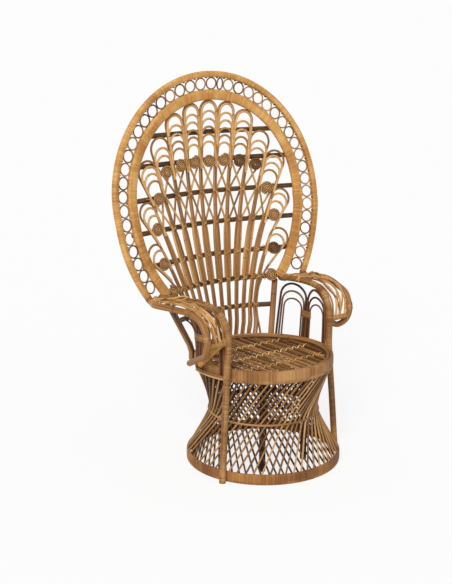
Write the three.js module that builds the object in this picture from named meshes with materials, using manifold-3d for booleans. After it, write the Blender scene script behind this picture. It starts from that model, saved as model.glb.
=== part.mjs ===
// Rattan fan-back armchair on a waisted drum base.
// Millimetres, +Z up. The sitter faces -Y. The origin is on the floor, midway along and across the chair.

import * as THREE from 'three';
import { mergeVertices } from 'three/addons/utils/BufferGeometryUtils.js';
import Module from 'manifold-3d';

const wasm = await Module();
wasm.setup();

// Gap kept between pieces that touch
const FIT = 0.3;

// Drum base
const BASE_RADIUS = 293;
const BASE_BAND = 40;
const BASE_WALL = 12;
const WAIST_RADIUS = 202;
const WAIST_HEIGHT = 197;
const STAKE = 7;
const STAKE_COUNT = 20;
const STAKE_LAYER = 8.6;
const STAKE_LOWER_TURN = 22;
const STAKE_UPPER_TURN = 31;
const STAKE_LAP = 2;
const STAKE_CLEAR = 1;
const WAIST_CANE = 8;
const WAIST_BITE = 1.2;
const INNER_POST = 24;
const INNER_POST_SIDE = 100;
const RING_STEPS = 54;
const WAIST_STEPS = 20;

// Seat
const SEAT_RADIUS = 262;
const SEAT_HEIGHT = 416;
const APRON_BAND = 47;
const APRON_WALL = 14;
const SEAT_CANE = 12;
const SEAT_CANE_DROP = 8;
const SLAT_COUNT = 15;
const SLAT_WIDTH = 16;
const SLAT_THICK = 10;
const SLAT_DROP = 10;
const BEARER = 14;
const BEARER_SPREAD = 120;
const BEARER_BITE = 1;

// Outline of the fan, and its depth from front to back
const CHAIR_HEIGHT = 1440;
const FAN_HALF_WIDTH = 481;
const FAN_WIDEST = 965;
const FAN_BOTTOM = 405;
const BELLY_HEIGHT = 1050;
const BELLY_SET_BACK = 87;
const BELLY_POWER = 1.2;
const CREST_RETURN = 3;
const CREST_RUN = 330;
const CUP = 0.000794;
const CUP_EASE = 0.00000477;
const CUP_AT_SEAT = 2;
const CUP_FADE = 100;
const CUP_FULL = 900;
const CUP_AT_CREST = 0.19;

// Rims of the fan and the rings between them; the lifts are heights of their ends above the arms
const OUTER_RIM = 22;
const INNER_RIM = 36;
const RIM_DEPTH = 20;
const RING_GAP = 48;
const RING_COUNT = 41;
const RING_CANE = 5;
const RING_BITE = 0.8;
const RING_SEAT = 0.6;
const RIM_STEP = 1;
const OUTER_RIM_LIFT = 10;
const INNER_RIM_LIFT = 18;
const LAST_RING_LIFT = 38;

// Rails behind the fan: one level with the arms, the others at shares of the way up from the seat
const RAIL = 16;
const RAIL_GAP = 0.6;
const FIRST_RAIL = 0.1035;
const UPPER_RAILS = [0.3135, 0.4336, 0.5508, 0.6699, 0.7754];

// Feathers of the fan: long bent canes with nested arches, and a flat coil in each
const CANE = 6.5;
const STEM_GAP = 1;
const STEM_LEAST = 10;
const STEM_COUNT = 7;
const STEM_FOOT_TURN = 5.7;
const STEM_TOP_TURN = 6.7;
const STEM_TOP_STEP = 12;
const STEM_TOP_SPREAD = 1;
const STEM_BOW = 60;
const STEM_BOW_POWER = 1.7;
const FOOT_LAP = 41;
const LEVEL_STEP = 0.5;
const NESTED_ARCHES = [2, 2, 2, 1, 1, 0, 0];
const ARCH_STEPS = 6;
const EYES = [0.6689, 0.667, 0.6592, 0.6416, 0.5479, 0.4424, 0.3135];
const RIM_LOBES = 3;
const SIDE_CROWN_REACH = [134, 157, 114, 93];
const COIL_CANE = 6;
const COIL_SPACE = 1.5;
const COIL_START = 4;
const COIL_STEPS = 8;
const COIL_RADIUS = 27;
const COIL_LIFT = 0.5;
const LAST_EYE_RADIUS = 22;

// Legs, posts and arms; the drops are measured down from the arms
const LEG = 25;
const LEG_TURN_RIGHT = 75;
const LEG_TURN_LEFT = 67;
const LEG_FLARE_RIGHT = 8;
const LEG_FLARE_LEFT = 1;
const POST = 24;
const POST_TURN = 135;
const POLE_STEPS = 18;
const ARM_HEIGHT = 630;
const ARM_BEND_RUN = 95;
const ARM_BEND_RISE = 108;
const ARM_REAR_DROP = 13;
const ARM_REAR_SET = 246;
const OUTER_POLE = 24;
const POLE_JOINT = 0.7;
const OUTER_POLE_DROP = 2;
const OUTER_POLE_BULGE = 18;
const SCROLL_REACH = 97;
const SCROLL_FRONT = 7;
const SCROLL_MIDDLE_DROP = 93;
const SCROLL_LOW_DROP = 155;
const TAIL_CLEAR = 4;
const TAIL_TURNS = [90, 101, 112];
const CROSSBAR = 20;
const CROSSBAR_DROP = 115;
const ARM_CANE = 9;
const ARM_CANE_COUNT = 3;
const PANEL_CANE = 8;
const PANEL_ARCHES = 3;
const PANEL_FALL = 28;
const PANEL_CROWN = 5;
const PANEL_BAND = 24;
const PANEL_BAND_DROP = 125;
const PANEL_BAND_LAP = 1.5;
const BUNDLE_SHARE = 0.516;
const PANEL_STEPS = 6;

const GOLD = '#c39150';
const TAN = '#b98547';
const BROWN = '#8d5f2e';
const DARK = '#5c3c1d';

const HALF_TURN = 180;
const DEGREE = Math.PI / HALF_TURN;
const smooth = THREE.MathUtils.smoothstep;
const mix = THREE.MathUtils.lerp;
const at = (x, y, z) => new THREE.Vector3(x, y, z);

// A run of stations whose cross-section keeps one side turned to a given direction
class Route extends THREE.Curve {
  constructor(stations, facing) {
    super();
    this.stations = stations;
    this.facing = facing;
  }
  getPoint(t, target = new THREE.Vector3()) {
    const last = this.stations.length - 1;
    const place = Math.min(last - 1, Math.floor(t * last));
    return target.lerpVectors(this.stations[place], this.stations[place + 1], t * last - place);
  }
  getSpacedPoints() {
    return this.stations.map((station) => station.clone());
  }
  computeFrenetFrames() {
    const frames = { tangents: [], normals: [], binormals: [] };
    const last = this.stations.length - 1;
    this.stations.forEach((station, n) => {
      const ahead = this.stations[Math.min(last, n + 1)].clone().sub(station);
      const behind = station.clone().sub(this.stations[Math.max(0, n - 1)]);
      const tangent = ahead.normalize().add(behind.normalize()).normalize();
      const wanted = typeof this.facing === 'function' ? this.facing(station) : this.facing;
      const normal = wanted.clone().addScaledVector(tangent, -wanted.dot(tangent)).normalize();
      frames.tangents.push(tangent);
      frames.normals.push(normal);
      frames.binormals.push(tangent.clone().cross(normal));
    });
    return frames;
  }
}

// Cross-sections: a regular polygon measured across its flats, and a rectangle
function rod(across, sides = 6) {
  const radius = across / 2 / Math.cos(Math.PI / sides);
  const shape = new THREE.Shape();
  for (let n = 0; n < sides; n += 1) {
    const turn = (2 * n + 1) * Math.PI / sides;
    const x = radius * Math.cos(turn);
    const y = radius * Math.sin(turn);
    if (n === 0) shape.moveTo(x, y);
    else shape.lineTo(x, y);
  }
  shape.closePath();
  return shape;
}

function strip(deep, wide) {
  const shape = new THREE.Shape();
  shape.moveTo(-deep / 2, -wide / 2);
  shape.lineTo(deep / 2, -wide / 2);
  shape.lineTo(deep / 2, wide / 2);
  shape.lineTo(-deep / 2, wide / 2);
  shape.closePath();
  return shape;
}

function pole(stations, facing, section) {
  const extrudePath = new Route(stations, facing);
  return new THREE.ExtrudeGeometry(section, { steps: stations.length - 1, extrudePath });
}

// A smooth pole through a few points, sampled at equal steps
function bentPole(points, steps, facing, section) {
  const curve = new THREE.CatmullRomCurve3(points, false, 'centripetal');
  return pole(curve.getSpacedPoints(steps), facing, section);
}

function solid(geometry) {
  const bare = geometry.clone();
  bare.deleteAttribute('normal');
  bare.deleteAttribute('uv');
  const merged = mergeVertices(bare, 0.001);
  const vertProperties = Float32Array.from(merged.attributes.position.array);
  const triVerts = Uint32Array.from(merged.index.array);
  return new wasm.Manifold(new wasm.Mesh({ numProp: 3, vertProperties, triVerts }));
}

function geometryOf(manifold) {
  const mesh = manifold.getMesh();
  const geometry = new THREE.BufferGeometry();
  geometry.setAttribute('position', new THREE.BufferAttribute(mesh.vertProperties, 3));
  geometry.setIndex(new THREE.BufferAttribute(mesh.triVerts, 1));
  geometry.computeVertexNormals();
  return geometry;
}

function joined(pieces) {
  return geometryOf(pieces.map(solid).reduce((sum, piece) => sum.add(piece)));
}

function trimmed(piece, cutters) {
  return geometryOf(cutters.map(solid).reduce((rest, cutter) => rest.subtract(cutter), solid(piece)));
}

// A hoop turned about the chair's axis from a rectangular section
function hoop(inner, outer, low, high, steps = RING_STEPS) {
  const profile = [[inner, low], [outer, low], [outer, high], [inner, high], [inner, low]];
  const points = profile.map(([radius, height]) => new THREE.Vector2(radius, height));
  const geometry = new THREE.LatheGeometry(points, steps, Math.PI / 2);
  return geometry.rotateX(Math.PI / 2);
}

// Smallest inside radius of a hoop whose round is drawn with straight facets
const facetIn = (radius) => radius * Math.cos(Math.PI / RING_STEPS);

function place(group, name, geometry, color) {
  const material = new THREE.MeshStandardMaterial({ color, roughness: 0.6, metalness: 0 });
  const mesh = new THREE.Mesh(geometry, material);
  mesh.name = name;
  group.add(mesh);
}

const chair = new THREE.Group();
const base = new THREE.Group();
const seat = new THREE.Group();
const fan = new THREE.Group();
const arms = new THREE.Group();
chair.add(base, seat, fan, arms);

// Base: wrapped floor ring, apron ring under the seat, and two layers of slanted stakes
const baseRing = hoop(BASE_RADIUS - BASE_WALL, BASE_RADIUS, 0, BASE_BAND);
const apronLow = SEAT_HEIGHT - APRON_BAND;
const apronInner = SEAT_RADIUS - APRON_WALL;
const apron = hoop(apronInner, SEAT_RADIUS, apronLow, SEAT_HEIGHT);
place(base, 'base_ring', baseRing, GOLD);
place(seat, 'seat_apron_ring', apron, GOLD);

function ringPoint(radius, turn, height) {
  return at(radius * Math.sin(turn * DEGREE), -radius * Math.cos(turn * DEGREE), height);
}

const outward = (point) => at(point.x, point.y, 0).normalize();

function stakes(radii, heights, lean) {
  const pieces = [];
  for (let n = 0; n < STAKE_COUNT; n += 1) {
    const turn = n * 360 / STAKE_COUNT;
    const stations = [
      ringPoint(radii[0], turn - lean * STAKE_LOWER_TURN, heights[0]),
      ringPoint(radii[1], turn, heights[1]),
      ringPoint(radii[2], turn + lean * STAKE_UPPER_TURN, heights[2]),
    ];
    pieces.push(pole(stations, outward, strip(STAKE, STAKE)));
  }
  return pieces;
}

const outerRadii = [BASE_RADIUS - BASE_WALL / 2, WAIST_RADIUS, SEAT_RADIUS - APRON_WALL / 2];
const outerHeights = [BASE_BAND - STAKE_LAP, WAIST_HEIGHT, apronLow + STAKE_LAP];
const outerHoopInner = WAIST_RADIUS + STAKE / 2 - WAIST_BITE;
const outerHoop = hoop(
  outerHoopInner,
  outerHoopInner + WAIST_CANE,
  WAIST_HEIGHT - WAIST_CANE / 2,
  WAIST_HEIGHT + WAIST_CANE / 2,
  WAIST_STEPS,
);
const outerLattice = joined([outerHoop, ...stakes(outerRadii, outerHeights, 1)]);
const ringBlock = (radius, low, high) => {
  const block = new THREE.BoxGeometry(2.2 * radius, 2.2 * radius, high - low);
  return block.translate(0, 0, (low + high) / 2);
};
const baseBlock = ringBlock(BASE_RADIUS, -FIT, BASE_BAND + FIT);
const apronBlock = ringBlock(SEAT_RADIUS, apronLow - FIT, SEAT_HEIGHT + FIT);
place(base, 'outer_stakes', trimmed(outerLattice, [baseBlock, apronBlock]), TAN);

const innerEdge = STAKE / 2 + FIT;
const innerRadii = [
  facetIn(BASE_RADIUS - BASE_WALL) - innerEdge - STAKE_CLEAR,
  WAIST_RADIUS - STAKE_LAYER,
  facetIn(apronInner) - innerEdge - STAKE_CLEAR,
];
const innerHeights = [STAKE, WAIST_HEIGHT, apronLow + STAKE / 2];
const innerHoopOuter = innerRadii[1] - STAKE / 2 + WAIST_BITE;
const innerHoop = hoop(
  innerHoopOuter - WAIST_CANE,
  innerHoopOuter,
  WAIST_HEIGHT - WAIST_CANE / 2,
  WAIST_HEIGHT + WAIST_CANE / 2,
  WAIST_STEPS,
);
const innerLattice = joined([innerHoop, ...stakes(innerRadii, innerHeights, -1)]);
place(base, 'inner_stakes', innerLattice, BROWN);

// Seat: a cane hoop inside the apron, and slats lashed to three bearers
const caneMiddle = apronInner - FIT / facetIn(1) - SEAT_CANE / 2;
const caneHeight = SEAT_HEIGHT - SEAT_CANE_DROP;
const seatCane = hoop(
  caneMiddle - SEAT_CANE / 2,
  caneMiddle + SEAT_CANE / 2,
  caneHeight - SEAT_CANE / 2,
  caneHeight + SEAT_CANE / 2,
);
place(seat, 'seat_hoop', seatCane, TAN);

const slatTop = SEAT_HEIGHT - SLAT_DROP;
const bearerTop = slatTop - SLAT_THICK + BEARER_BITE;
const slatReach = facetIn(caneMiddle - SEAT_CANE / 2) - FIT;
const bearerReach = facetIn(apronInner) - FIT;
const halfChord = (radius, offset) => Math.sqrt(radius * radius - offset * offset);
const slatPitch = 2 * (slatReach - SLAT_WIDTH) / SLAT_COUNT;
const deck = [];
for (let n = 0; n < SLAT_COUNT; n += 1) {
  const x = (n - (SLAT_COUNT - 1) / 2) * slatPitch;
  const half = halfChord(slatReach, Math.abs(x) + SLAT_WIDTH / 2);
  const slat = new THREE.BoxGeometry(SLAT_WIDTH, 2 * half, SLAT_THICK);
  deck.push(slat.translate(x, 0, slatTop - SLAT_THICK / 2));
}
for (const row of [-1, 0, 1]) {
  const y = row * BEARER_SPREAD;
  const half = halfChord(bearerReach, Math.abs(y) + BEARER / 2);
  const bearer = new THREE.BoxGeometry(2 * half, BEARER, BEARER);
  deck.push(bearer.translate(0, y, bearerTop - BEARER / 2));
}
place(seat, 'seat_slats', joined(deck), BROWN);

const postTop = bearerTop - BEARER - FIT;
for (const [side, sideName] of [[-1, 'left'], [1, 'right']]) {
  for (const [end, endName] of [[-1, 'front'], [1, 'back']]) {
    const inner = new THREE.CylinderGeometry(INNER_POST / 2, INNER_POST / 2, postTop, 8);
    inner.rotateX(Math.PI / 2);
    inner.translate(side * INNER_POST_SIDE, end * BEARER_SPREAD, postTop / 2);
    place(base, `inner_post_${endName}_${sideName}`, inner, DARK);
  }
}

// The fan is drawn flat in x and z, then every point is moved onto its dished surface
const footRadius = SEAT_RADIUS + FIT + CANE / 2;
const upFan = (share) => mix(SEAT_HEIGHT, CHAIR_HEIGHT, share);
const railHeights = [upFan(FIRST_RAIL), ARM_HEIGHT, ...UPPER_RAILS.map(upFan)];

function fanBack(x, z) {
  let middle;
  if (z < BELLY_HEIGHT) {
    const share = Math.max(0, (z - SEAT_HEIGHT) / (BELLY_HEIGHT - SEAT_HEIGHT));
    middle = footRadius + BELLY_SET_BACK * Math.sin(Math.PI / 2 * share ** BELLY_POWER);
  } else {
    const share = Math.min(1, (z - BELLY_HEIGHT) / CREST_RUN);
    middle = footRadius + BELLY_SET_BACK - CREST_RETURN * (1 - Math.cos(Math.PI * share)) / 2;
  }
  const fade = Math.exp(-Math.max(0, z - SEAT_HEIGHT) / CUP_FADE);
  const crest = Math.min(1, Math.max(0, (z - CUP_FULL) / (CHAIR_HEIGHT - CUP_FULL)));
  const cup = CUP * mix(1, CUP_AT_CREST, crest) * (1 + CUP_AT_SEAT * fade);
  const dished = middle - cup * x * x / (1 + CUP_EASE * x * x);
  const share = smooth(z, SEAT_HEIGHT, railHeights[0]);
  if (share === 1) return dished;
  const around = halfChord(footRadius, Math.min(Math.abs(x), footRadius * 0.95));
  return mix(around, dished, share);
}

function fanPoint(x, z, forward = 0) {
  const step = 0.5;
  const across = (fanBack(x + step, z) - fanBack(x - step, z)) / (2 * step);
  const upward = (fanBack(x, z + step) - fanBack(x, z - step)) / (2 * step);
  const front = at(across, -1, upward).normalize();
  return at(x, fanBack(x, z), z).addScaledVector(front, forward);
}

function dish(geometry) {
  const position = geometry.attributes.position;
  for (let n = 0; n < position.count; n += 1) {
    const point = fanPoint(position.getX(n), position.getZ(n), -position.getY(n));
    position.setXYZ(n, point.x, point.y, point.z);
  }
  geometry.computeVertexNormals();
  return geometry;
}

// A run drawn flat on the fan, a given distance in front of its middle surface
function flatRun(points, forward, section) {
  const stations = points.map(([x, z]) => at(x, -forward, z));
  return dish(pole(stations, at(0, -1, 0), section));
}

// The oval outline of the fan, and points set in from it along its own normal
function rimPoint(turn, inset) {
  const cos = Math.cos(turn * DEGREE);
  const sin = Math.sin(turn * DEGREE);
  const rise = sin < 0 ? FAN_WIDEST - FAN_BOTTOM : CHAIR_HEIGHT - FAN_WIDEST;
  const normal = new THREE.Vector2(cos / FAN_HALF_WIDTH, sin / rise).normalize();
  return [FAN_HALF_WIDTH * cos - inset * normal.x, FAN_WIDEST + rise * sin - inset * normal.y];
}

// The turn, below the widest line on the right, at which an inset curve comes down to a height
function turnAtHeight(height, inset) {
  let low = -85;
  let high = 0;
  for (let n = 0; n < 50; n += 1) {
    const middle = (low + high) / 2;
    if (rimPoint(middle, inset)[1] > height) high = middle;
    else low = middle;
  }
  return (low + high) / 2;
}

const ringInset = OUTER_RIM + RING_GAP / 2;
const innerRimInset = OUTER_RIM + RING_GAP + INNER_RIM / 2;
const innerEdgeInset = OUTER_RIM + RING_GAP + INNER_RIM;
const rimForward = RIM_DEPTH / 2 - CANE / 2;

// Ring centres at equal steps along the middle of the gap, from the right arm over the top
function ringTurns() {
  const first = turnAtHeight(ARM_HEIGHT + LAST_RING_LIFT, ringInset);
  const fine = 2000;
  const lengths = [0];
  const turns = [first];
  for (let n = 1; n <= fine; n += 1) {
    turns.push(mix(first, HALF_TURN - first, n / fine));
    const [x0, z0] = rimPoint(turns[n - 1], ringInset);
    const [x1, z1] = rimPoint(turns[n], ringInset);
    lengths.push(lengths[n - 1] + Math.hypot(x1 - x0, z1 - z0));
  }
  const pitch = lengths[fine] / (RING_COUNT - 1);
  const picked = [];
  for (let n = 0; n < RING_COUNT; n += 1) {
    const place = lengths.findIndex((length) => length >= n * pitch - 0.001);
    picked.push(turns[place]);
  }
  return { picked, pitch };
}

const { picked: rings, pitch: ringPitch } = ringTurns();

function rimTurns(foot, inset) {
  const end = turnAtHeight(foot, inset);
  const other = HALF_TURN - end;
  return [end, ...rings.filter((turn) => turn > end + RIM_STEP && turn < other - RIM_STEP), other];
}

const outerTurns = rimTurns(ARM_HEIGHT + OUTER_RIM_LIFT, OUTER_RIM / 2);
const outerRim = flatRun(outerTurns.map((turn) => rimPoint(turn, OUTER_RIM / 2)), rimForward, (() => {
  const shape = new THREE.Shape();
  const deep = RIM_DEPTH / 2;
  const wide = OUTER_RIM / 2;
  shape.moveTo(deep, 0);
  shape.lineTo(deep / 2, wide);
  shape.lineTo(-deep / 2, wide);
  shape.lineTo(-deep, 0);
  shape.lineTo(-deep / 2, -wide);
  shape.lineTo(deep / 2, -wide);
  shape.closePath();
  return shape;
})());
place(fan, 'outer_rim', outerRim, GOLD);

const innerTurns = rimTurns(ARM_HEIGHT + INNER_RIM_LIFT, innerRimInset);
const innerRim = flatRun(innerTurns.map((turn) => rimPoint(turn, innerRimInset)), rimForward, (() => {
  const shape = new THREE.Shape();
  const deep = RIM_DEPTH / 2;
  const wide = INNER_RIM / 2;
  shape.moveTo(-deep, -wide);
  shape.lineTo(deep / 2, -wide);
  shape.lineTo(deep, -wide / 2);
  shape.lineTo(deep, wide / 2);
  shape.lineTo(deep / 2, wide);
  shape.lineTo(-deep, wide);
  shape.closePath();
  return shape;
})());

// One row of cane rings fills the gap between the rims; each is a hexagon whose flats lie on the rims
const flatDrop = ringPitch * ringPitch / 8 / (FAN_HALF_WIDTH - 2 * OUTER_RIM);

function ringAt(turn) {
  const [x, z] = rimPoint(turn, ringInset + flatDrop / 2);
  const long = ringPitch / 2 + RING_BITE;
  const tall = (RING_GAP / 2 - RING_SEAT - flatDrop / 2) / Math.sin(Math.PI / 3);
  const shape = new THREE.Shape().absellipse(0, 0, long, tall, 0, 2 * Math.PI);
  const hole = new THREE.Path().absellipse(0, 0, long - RING_CANE, tall - RING_CANE, 0, 2 * Math.PI);
  shape.holes.push(hole);
  const ring = new THREE.ExtrudeGeometry(shape, { depth: RING_CANE, bevelEnabled: false, curveSegments: 3 });
  const [nx, nz] = rimFacing(turn);
  ring.translate(0, 0, -RING_CANE / 2);
  ring.rotateX(Math.PI / 2);
  ring.rotateY(Math.atan2(nx, nz));
  return ring.translate(x, -rimForward, z);
}

function rimFacing(turn) {
  const [x0, z0] = rimPoint(turn, 1);
  const [x1, z1] = rimPoint(turn, 0);
  return [x1 - x0, z1 - z0];
}

place(fan, 'ring_row', dish(joined(rings.map(ringAt))), TAN);

// Stem lines: each runs from the seat ring to the inner edge of the inner rim, clear of the one before
function stem(number, before) {
  const footX = footRadius * Math.sin((2 * number + 1) * STEM_FOOT_TURN / 2 * DEGREE);
  const turn = 90 - STEM_TOP_TURN - STEM_TOP_STEP * number - STEM_TOP_SPREAD * number * number;
  const [topX, topZ] = rimPoint(turn, innerEdgeInset);
  const bow = STEM_BOW * (number / (STEM_COUNT - 1)) ** STEM_BOW_POWER;
  const middleX = (footX + topX) / 2 - 2 * bow;
  const share = (z) => Math.max(0, (z - SEAT_HEIGHT) / (topZ - SEAT_HEIGHT));
  const x = (z) => {
    const t = share(z);
    const own = (1 - t) ** 2 * footX + 2 * t * (1 - t) * middleX + t * t * topX;
    return before ? Math.max(own, before.x(z) + STEM_LEAST) : own;
  };
  return { x, slope: (z) => (z < SEAT_HEIGHT ? 0 : x(z + 1) - x(z)) };
}

const stems = [];
for (let number = 0; number < STEM_COUNT; number += 1) stems.push(stem(number, stems[number - 1]));
const legShift = (CANE + STEM_GAP) / 2;

// The x of a leg that runs beside a stem, and of the mirrored stem where the lobe is the middle one
function legX(number, side, z) {
  if (number < 0) return -legX(0, -side, z);
  const { x, slope } = stems[number];
  return x(z) + side * legShift * Math.hypot(1, slope(z));
}

const legLevels = [SEAT_HEIGHT - FOOT_LAP, SEAT_HEIGHT, railHeights[0] - 2 * RAIL, ...railHeights];

// Both canes of a stem bend at the same heights, the springing of either arch among them
function legPoints(number, side, topZ, springs) {
  const levels = [...legLevels, ...springs[Math.max(0, number)]].filter((z) => z < topZ - LEVEL_STEP);
  return [...levels.sort((a, b) => a - b), topZ].map((z) => [legX(number, side, z), z]);
}

function arch(left, right, rise, steps) {
  const middle = [(left[0] + right[0]) / 2, (left[1] + right[1]) / 2];
  const half = [(right[0] - left[0]) / 2, (right[1] - left[1]) / 2];
  const width = Math.hypot(half[0], half[1]);
  const up = [-half[1] / width * rise, half[0] / width * rise];
  const points = [];
  for (let n = 0; n <= steps; n += 1) {
    const turn = Math.PI * n / steps;
    points.push([
      middle[0] - half[0] * Math.cos(turn) + up[0] * Math.sin(turn),
      middle[1] - half[1] * Math.cos(turn) + up[1] * Math.sin(turn),
    ]);
  }
  return points;
}

// Distance from a point to a run of straight steps, counted below zero on the right of the run
function gapToLine([px, pz], line) {
  let least = Infinity;
  let side = 1;
  for (let n = 1; n < line.length; n += 1) {
    const [ax, az] = line[n - 1];
    const [bx, bz] = line[n];
    const along = ((px - ax) * (bx - ax) + (pz - az) * (bz - az)) / ((bx - ax) ** 2 + (bz - az) ** 2);
    const t = Math.min(1, Math.max(0, along));
    const away = Math.hypot(px - mix(ax, bx, t), pz - mix(az, bz, t));
    if (away < least) {
      least = away;
      side = Math.sign((bx - ax) * (pz - az) - (bz - az) * (px - ax));
    }
  }
  return side * least;
}

const innerEdgeLine = innerTurns.map((turn) => rimPoint(turn, innerEdgeInset));
const gapToRim = (point) => gapToLine(point, innerEdgeLine);

// The pair of leg points that lie square across a lobe, a given distance above its eye
function across(lobe, reach) {
  const { eye, axis } = lobe;
  const centre = [eye[0] + axis[0] * reach, eye[1] + axis[1] * reach];
  return [[lobe.number - 1, 1], [lobe.number, -1]].map(([number, side]) => {
    let low = SEAT_HEIGHT;
    let high = CHAIR_HEIGHT;
    for (let n = 0; n < 50; n += 1) {
      const z = (low + high) / 2;
      const ahead = (legX(number, side, z) - centre[0]) * axis[0] + (z - centre[1]) * axis[1];
      if (ahead > 0) high = z;
      else low = z;
    }
    return [legX(number, side, low), low];
  });
}

function lobeOf(number) {
  const z = upFan(EYES[number]);
  const left = legX(number - 1, 1, z);
  const right = legX(number, -1, z);
  const leftSlope = number === 0 ? -stems[0].slope(z) : stems[number - 1].slope(z);
  const slope = (leftSlope + stems[number].slope(z)) / 2;
  const length = Math.hypot(1, slope);
  const lobe = { number, eye: [(left + right) / 2, z], axis: [slope / length, 1 / length] };
  const [near, far] = across(lobe, 0);
  lobe.eye = [(near[0] + far[0]) / 2, (near[1] + far[1]) / 2];
  return lobe;
}

const halfWidth = ([left, right]) => Math.hypot(right[0] - left[0], right[1] - left[1]) / 2;

// The crown of a feather: up to the rim in the middle lobes, and as far as its own reach at the sides
function crownOf(lobe) {
  const side = lobe.number - RIM_LOBES;
  let reach = side < 0 ? CHAIR_HEIGHT - lobe.eye[1] : SIDE_CROWN_REACH[side];
  let crown;
  let pair;
  do {
    pair = across(lobe, reach);
    pair = across(lobe, reach - halfWidth(pair));
    crown = arch(pair[0], pair[1], halfWidth(pair), ARCH_STEPS);
    reach -= 0.1;
  } while (Math.min(...crown.map(gapToRim)) < CANE / 2 + FIT);
  return { lobe, reach, pair, crown };
}

// A feather: one long cane up one stem, over an arch and down the next, with arches nested in it
function feather({ lobe, reach, pair, crown }, springs) {
  const { number } = lobe;
  const up = legPoints(number - 1, 1, pair[0][1], springs);
  const down = legPoints(number, -1, pair[1][1], springs).reverse();
  const section = strip(CANE, CANE);
  const pieces = [flatRun([...up, ...crown.slice(1, -1), ...down], 0, section)];
  const eyeRadius = halfWidth(across(lobe, 0));
  const nested = NESTED_ARCHES[number];
  for (let n = 1; n <= nested; n += 1) {
    const level = mix(eyeRadius, reach - halfWidth(pair), n / (nested + 1));
    const [left, right] = across(lobe, level);
    pieces.push(flatRun(arch(left, right, halfWidth([left, right]), ARCH_STEPS), 0, section));
  }
  return pieces;
}

// A flat coil: one unbroken cane wound out from the middle. It fills its lobe between the stems,
// or lies on the front of them where the lobe is narrower than the coil.
function coil([x, z], radius, contactTurn) {
  const outside = radius - COIL_CANE / 2;
  const pitch = COIL_CANE + COIL_SPACE;
  const steps = Math.floor((outside - COIL_START) / pitch * COIL_STEPS);
  const points = [];
  for (let n = 0; n <= steps; n += 1) {
    const back = steps - n;
    const away = outside - pitch * back / COIL_STEPS;
    const turn = contactTurn - 2 * Math.PI * back / COIL_STEPS;
    points.push([x + away * Math.cos(turn), z + away * Math.sin(turn)]);
  }
  return points;
}

// Least clear space between the turns of a coil, on its own points
function coilGap(points) {
  let least = Infinity;
  for (let n = 0; n < points.length; n += 1) {
    for (let m = n + COIL_STEPS - 1; m < points.length - 1; m += 1) {
      const [ax, az] = points[m];
      const [bx, bz] = points[m + 1];
      const [px, pz] = points[n];
      const along = ((px - ax) * (bx - ax) + (pz - az) * (bz - az)) / ((bx - ax) ** 2 + (bz - az) ** 2);
      const t = Math.min(1, Math.max(0, along));
      least = Math.min(least, Math.hypot(px - mix(ax, bx, t), pz - mix(az, bz, t)));
    }
  }
  return least - COIL_CANE;
}

const flip = (points) => points.map(([x, z]) => [-x, z]);
const coilGaps = [];

function placeCoil(name, points, forward) {
  coilGaps.push(coilGap(points));
  place(fan, name, flatRun(points, forward, strip(CANE, COIL_CANE)), TAN);
}

function mirrored(geometry) {
  const copy = geometry.clone();
  const position = copy.attributes.position;
  for (let n = 0; n < position.count; n += 1) position.setX(n, -position.getX(n));
  const index = copy.index ? Array.from(copy.index.array) : Array.from(position.array, (_, n) => n);
  const corners = copy.index ? index : index.slice(0, position.count);
  for (let n = 0; n < corners.length; n += 3) {
    [corners[n + 1], corners[n + 2]] = [corners[n + 2], corners[n + 1]];
  }
  copy.setIndex(corners);
  copy.computeVertexNormals();
  return copy;
}

const crowns = Array.from({ length: STEM_COUNT }, (_, number) => crownOf(lobeOf(number)));
const springs = crowns.map(({ pair }, number) => {
  const next = crowns[number + 1];
  return next ? [pair[1][1], next.pair[0][1]] : [pair[1][1]];
});

for (let number = 0; number < STEM_COUNT; number += 1) {
  const { lobe } = crowns[number];
  const geometry = joined(feather(crowns[number], springs));
  const clear = halfWidth(across(lobe, 0)) - CANE / 2 - FIT;
  const forward = clear < COIL_RADIUS ? CANE + COIL_LIFT : 0;
  const turn = Math.atan2(-lobe.axis[0], lobe.axis[1]);
  const points = coil(lobe.eye, Math.max(clear, COIL_RADIUS), turn);
  if (number === 0) {
    place(fan, 'feather_middle', geometry, GOLD);
    placeCoil('coil_middle', points, forward);
  } else {
    place(fan, `feather_right_${number}`, geometry, GOLD);
    place(fan, `feather_left_${number}`, mirrored(geometry), GOLD);
    placeCoil(`coil_right_${number}`, points, forward);
    placeCoil(`coil_left_${number}`, flip(points), forward);
  }
}

// The lowest pair of coils sits beside the last stem, level with the arms
const lowZ = ARM_HEIGHT;
const lastLeg = legPoints(STEM_COUNT - 1, -1, crowns[STEM_COUNT - 1].pair[1][1], springs);
let lowX = legX(STEM_COUNT - 1, -1, lowZ);
while (-gapToLine([lowX, lowZ], lastLeg) < CANE / 2 + FIT + LAST_EYE_RADIUS) lowX += 0.1;
const lowTurn = Math.atan2(stems[STEM_COUNT - 1].slope(lowZ), -1);
const lowCoil = coil([lowX, lowZ], LAST_EYE_RADIUS, lowTurn);
placeCoil(`coil_right_${STEM_COUNT}`, lowCoil, 0);
placeCoil(`coil_left_${STEM_COUNT}`, flip(lowCoil), 0);
console.log('least gap in a coil, mm:', Math.min(...coilGaps).toFixed(2));

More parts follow.
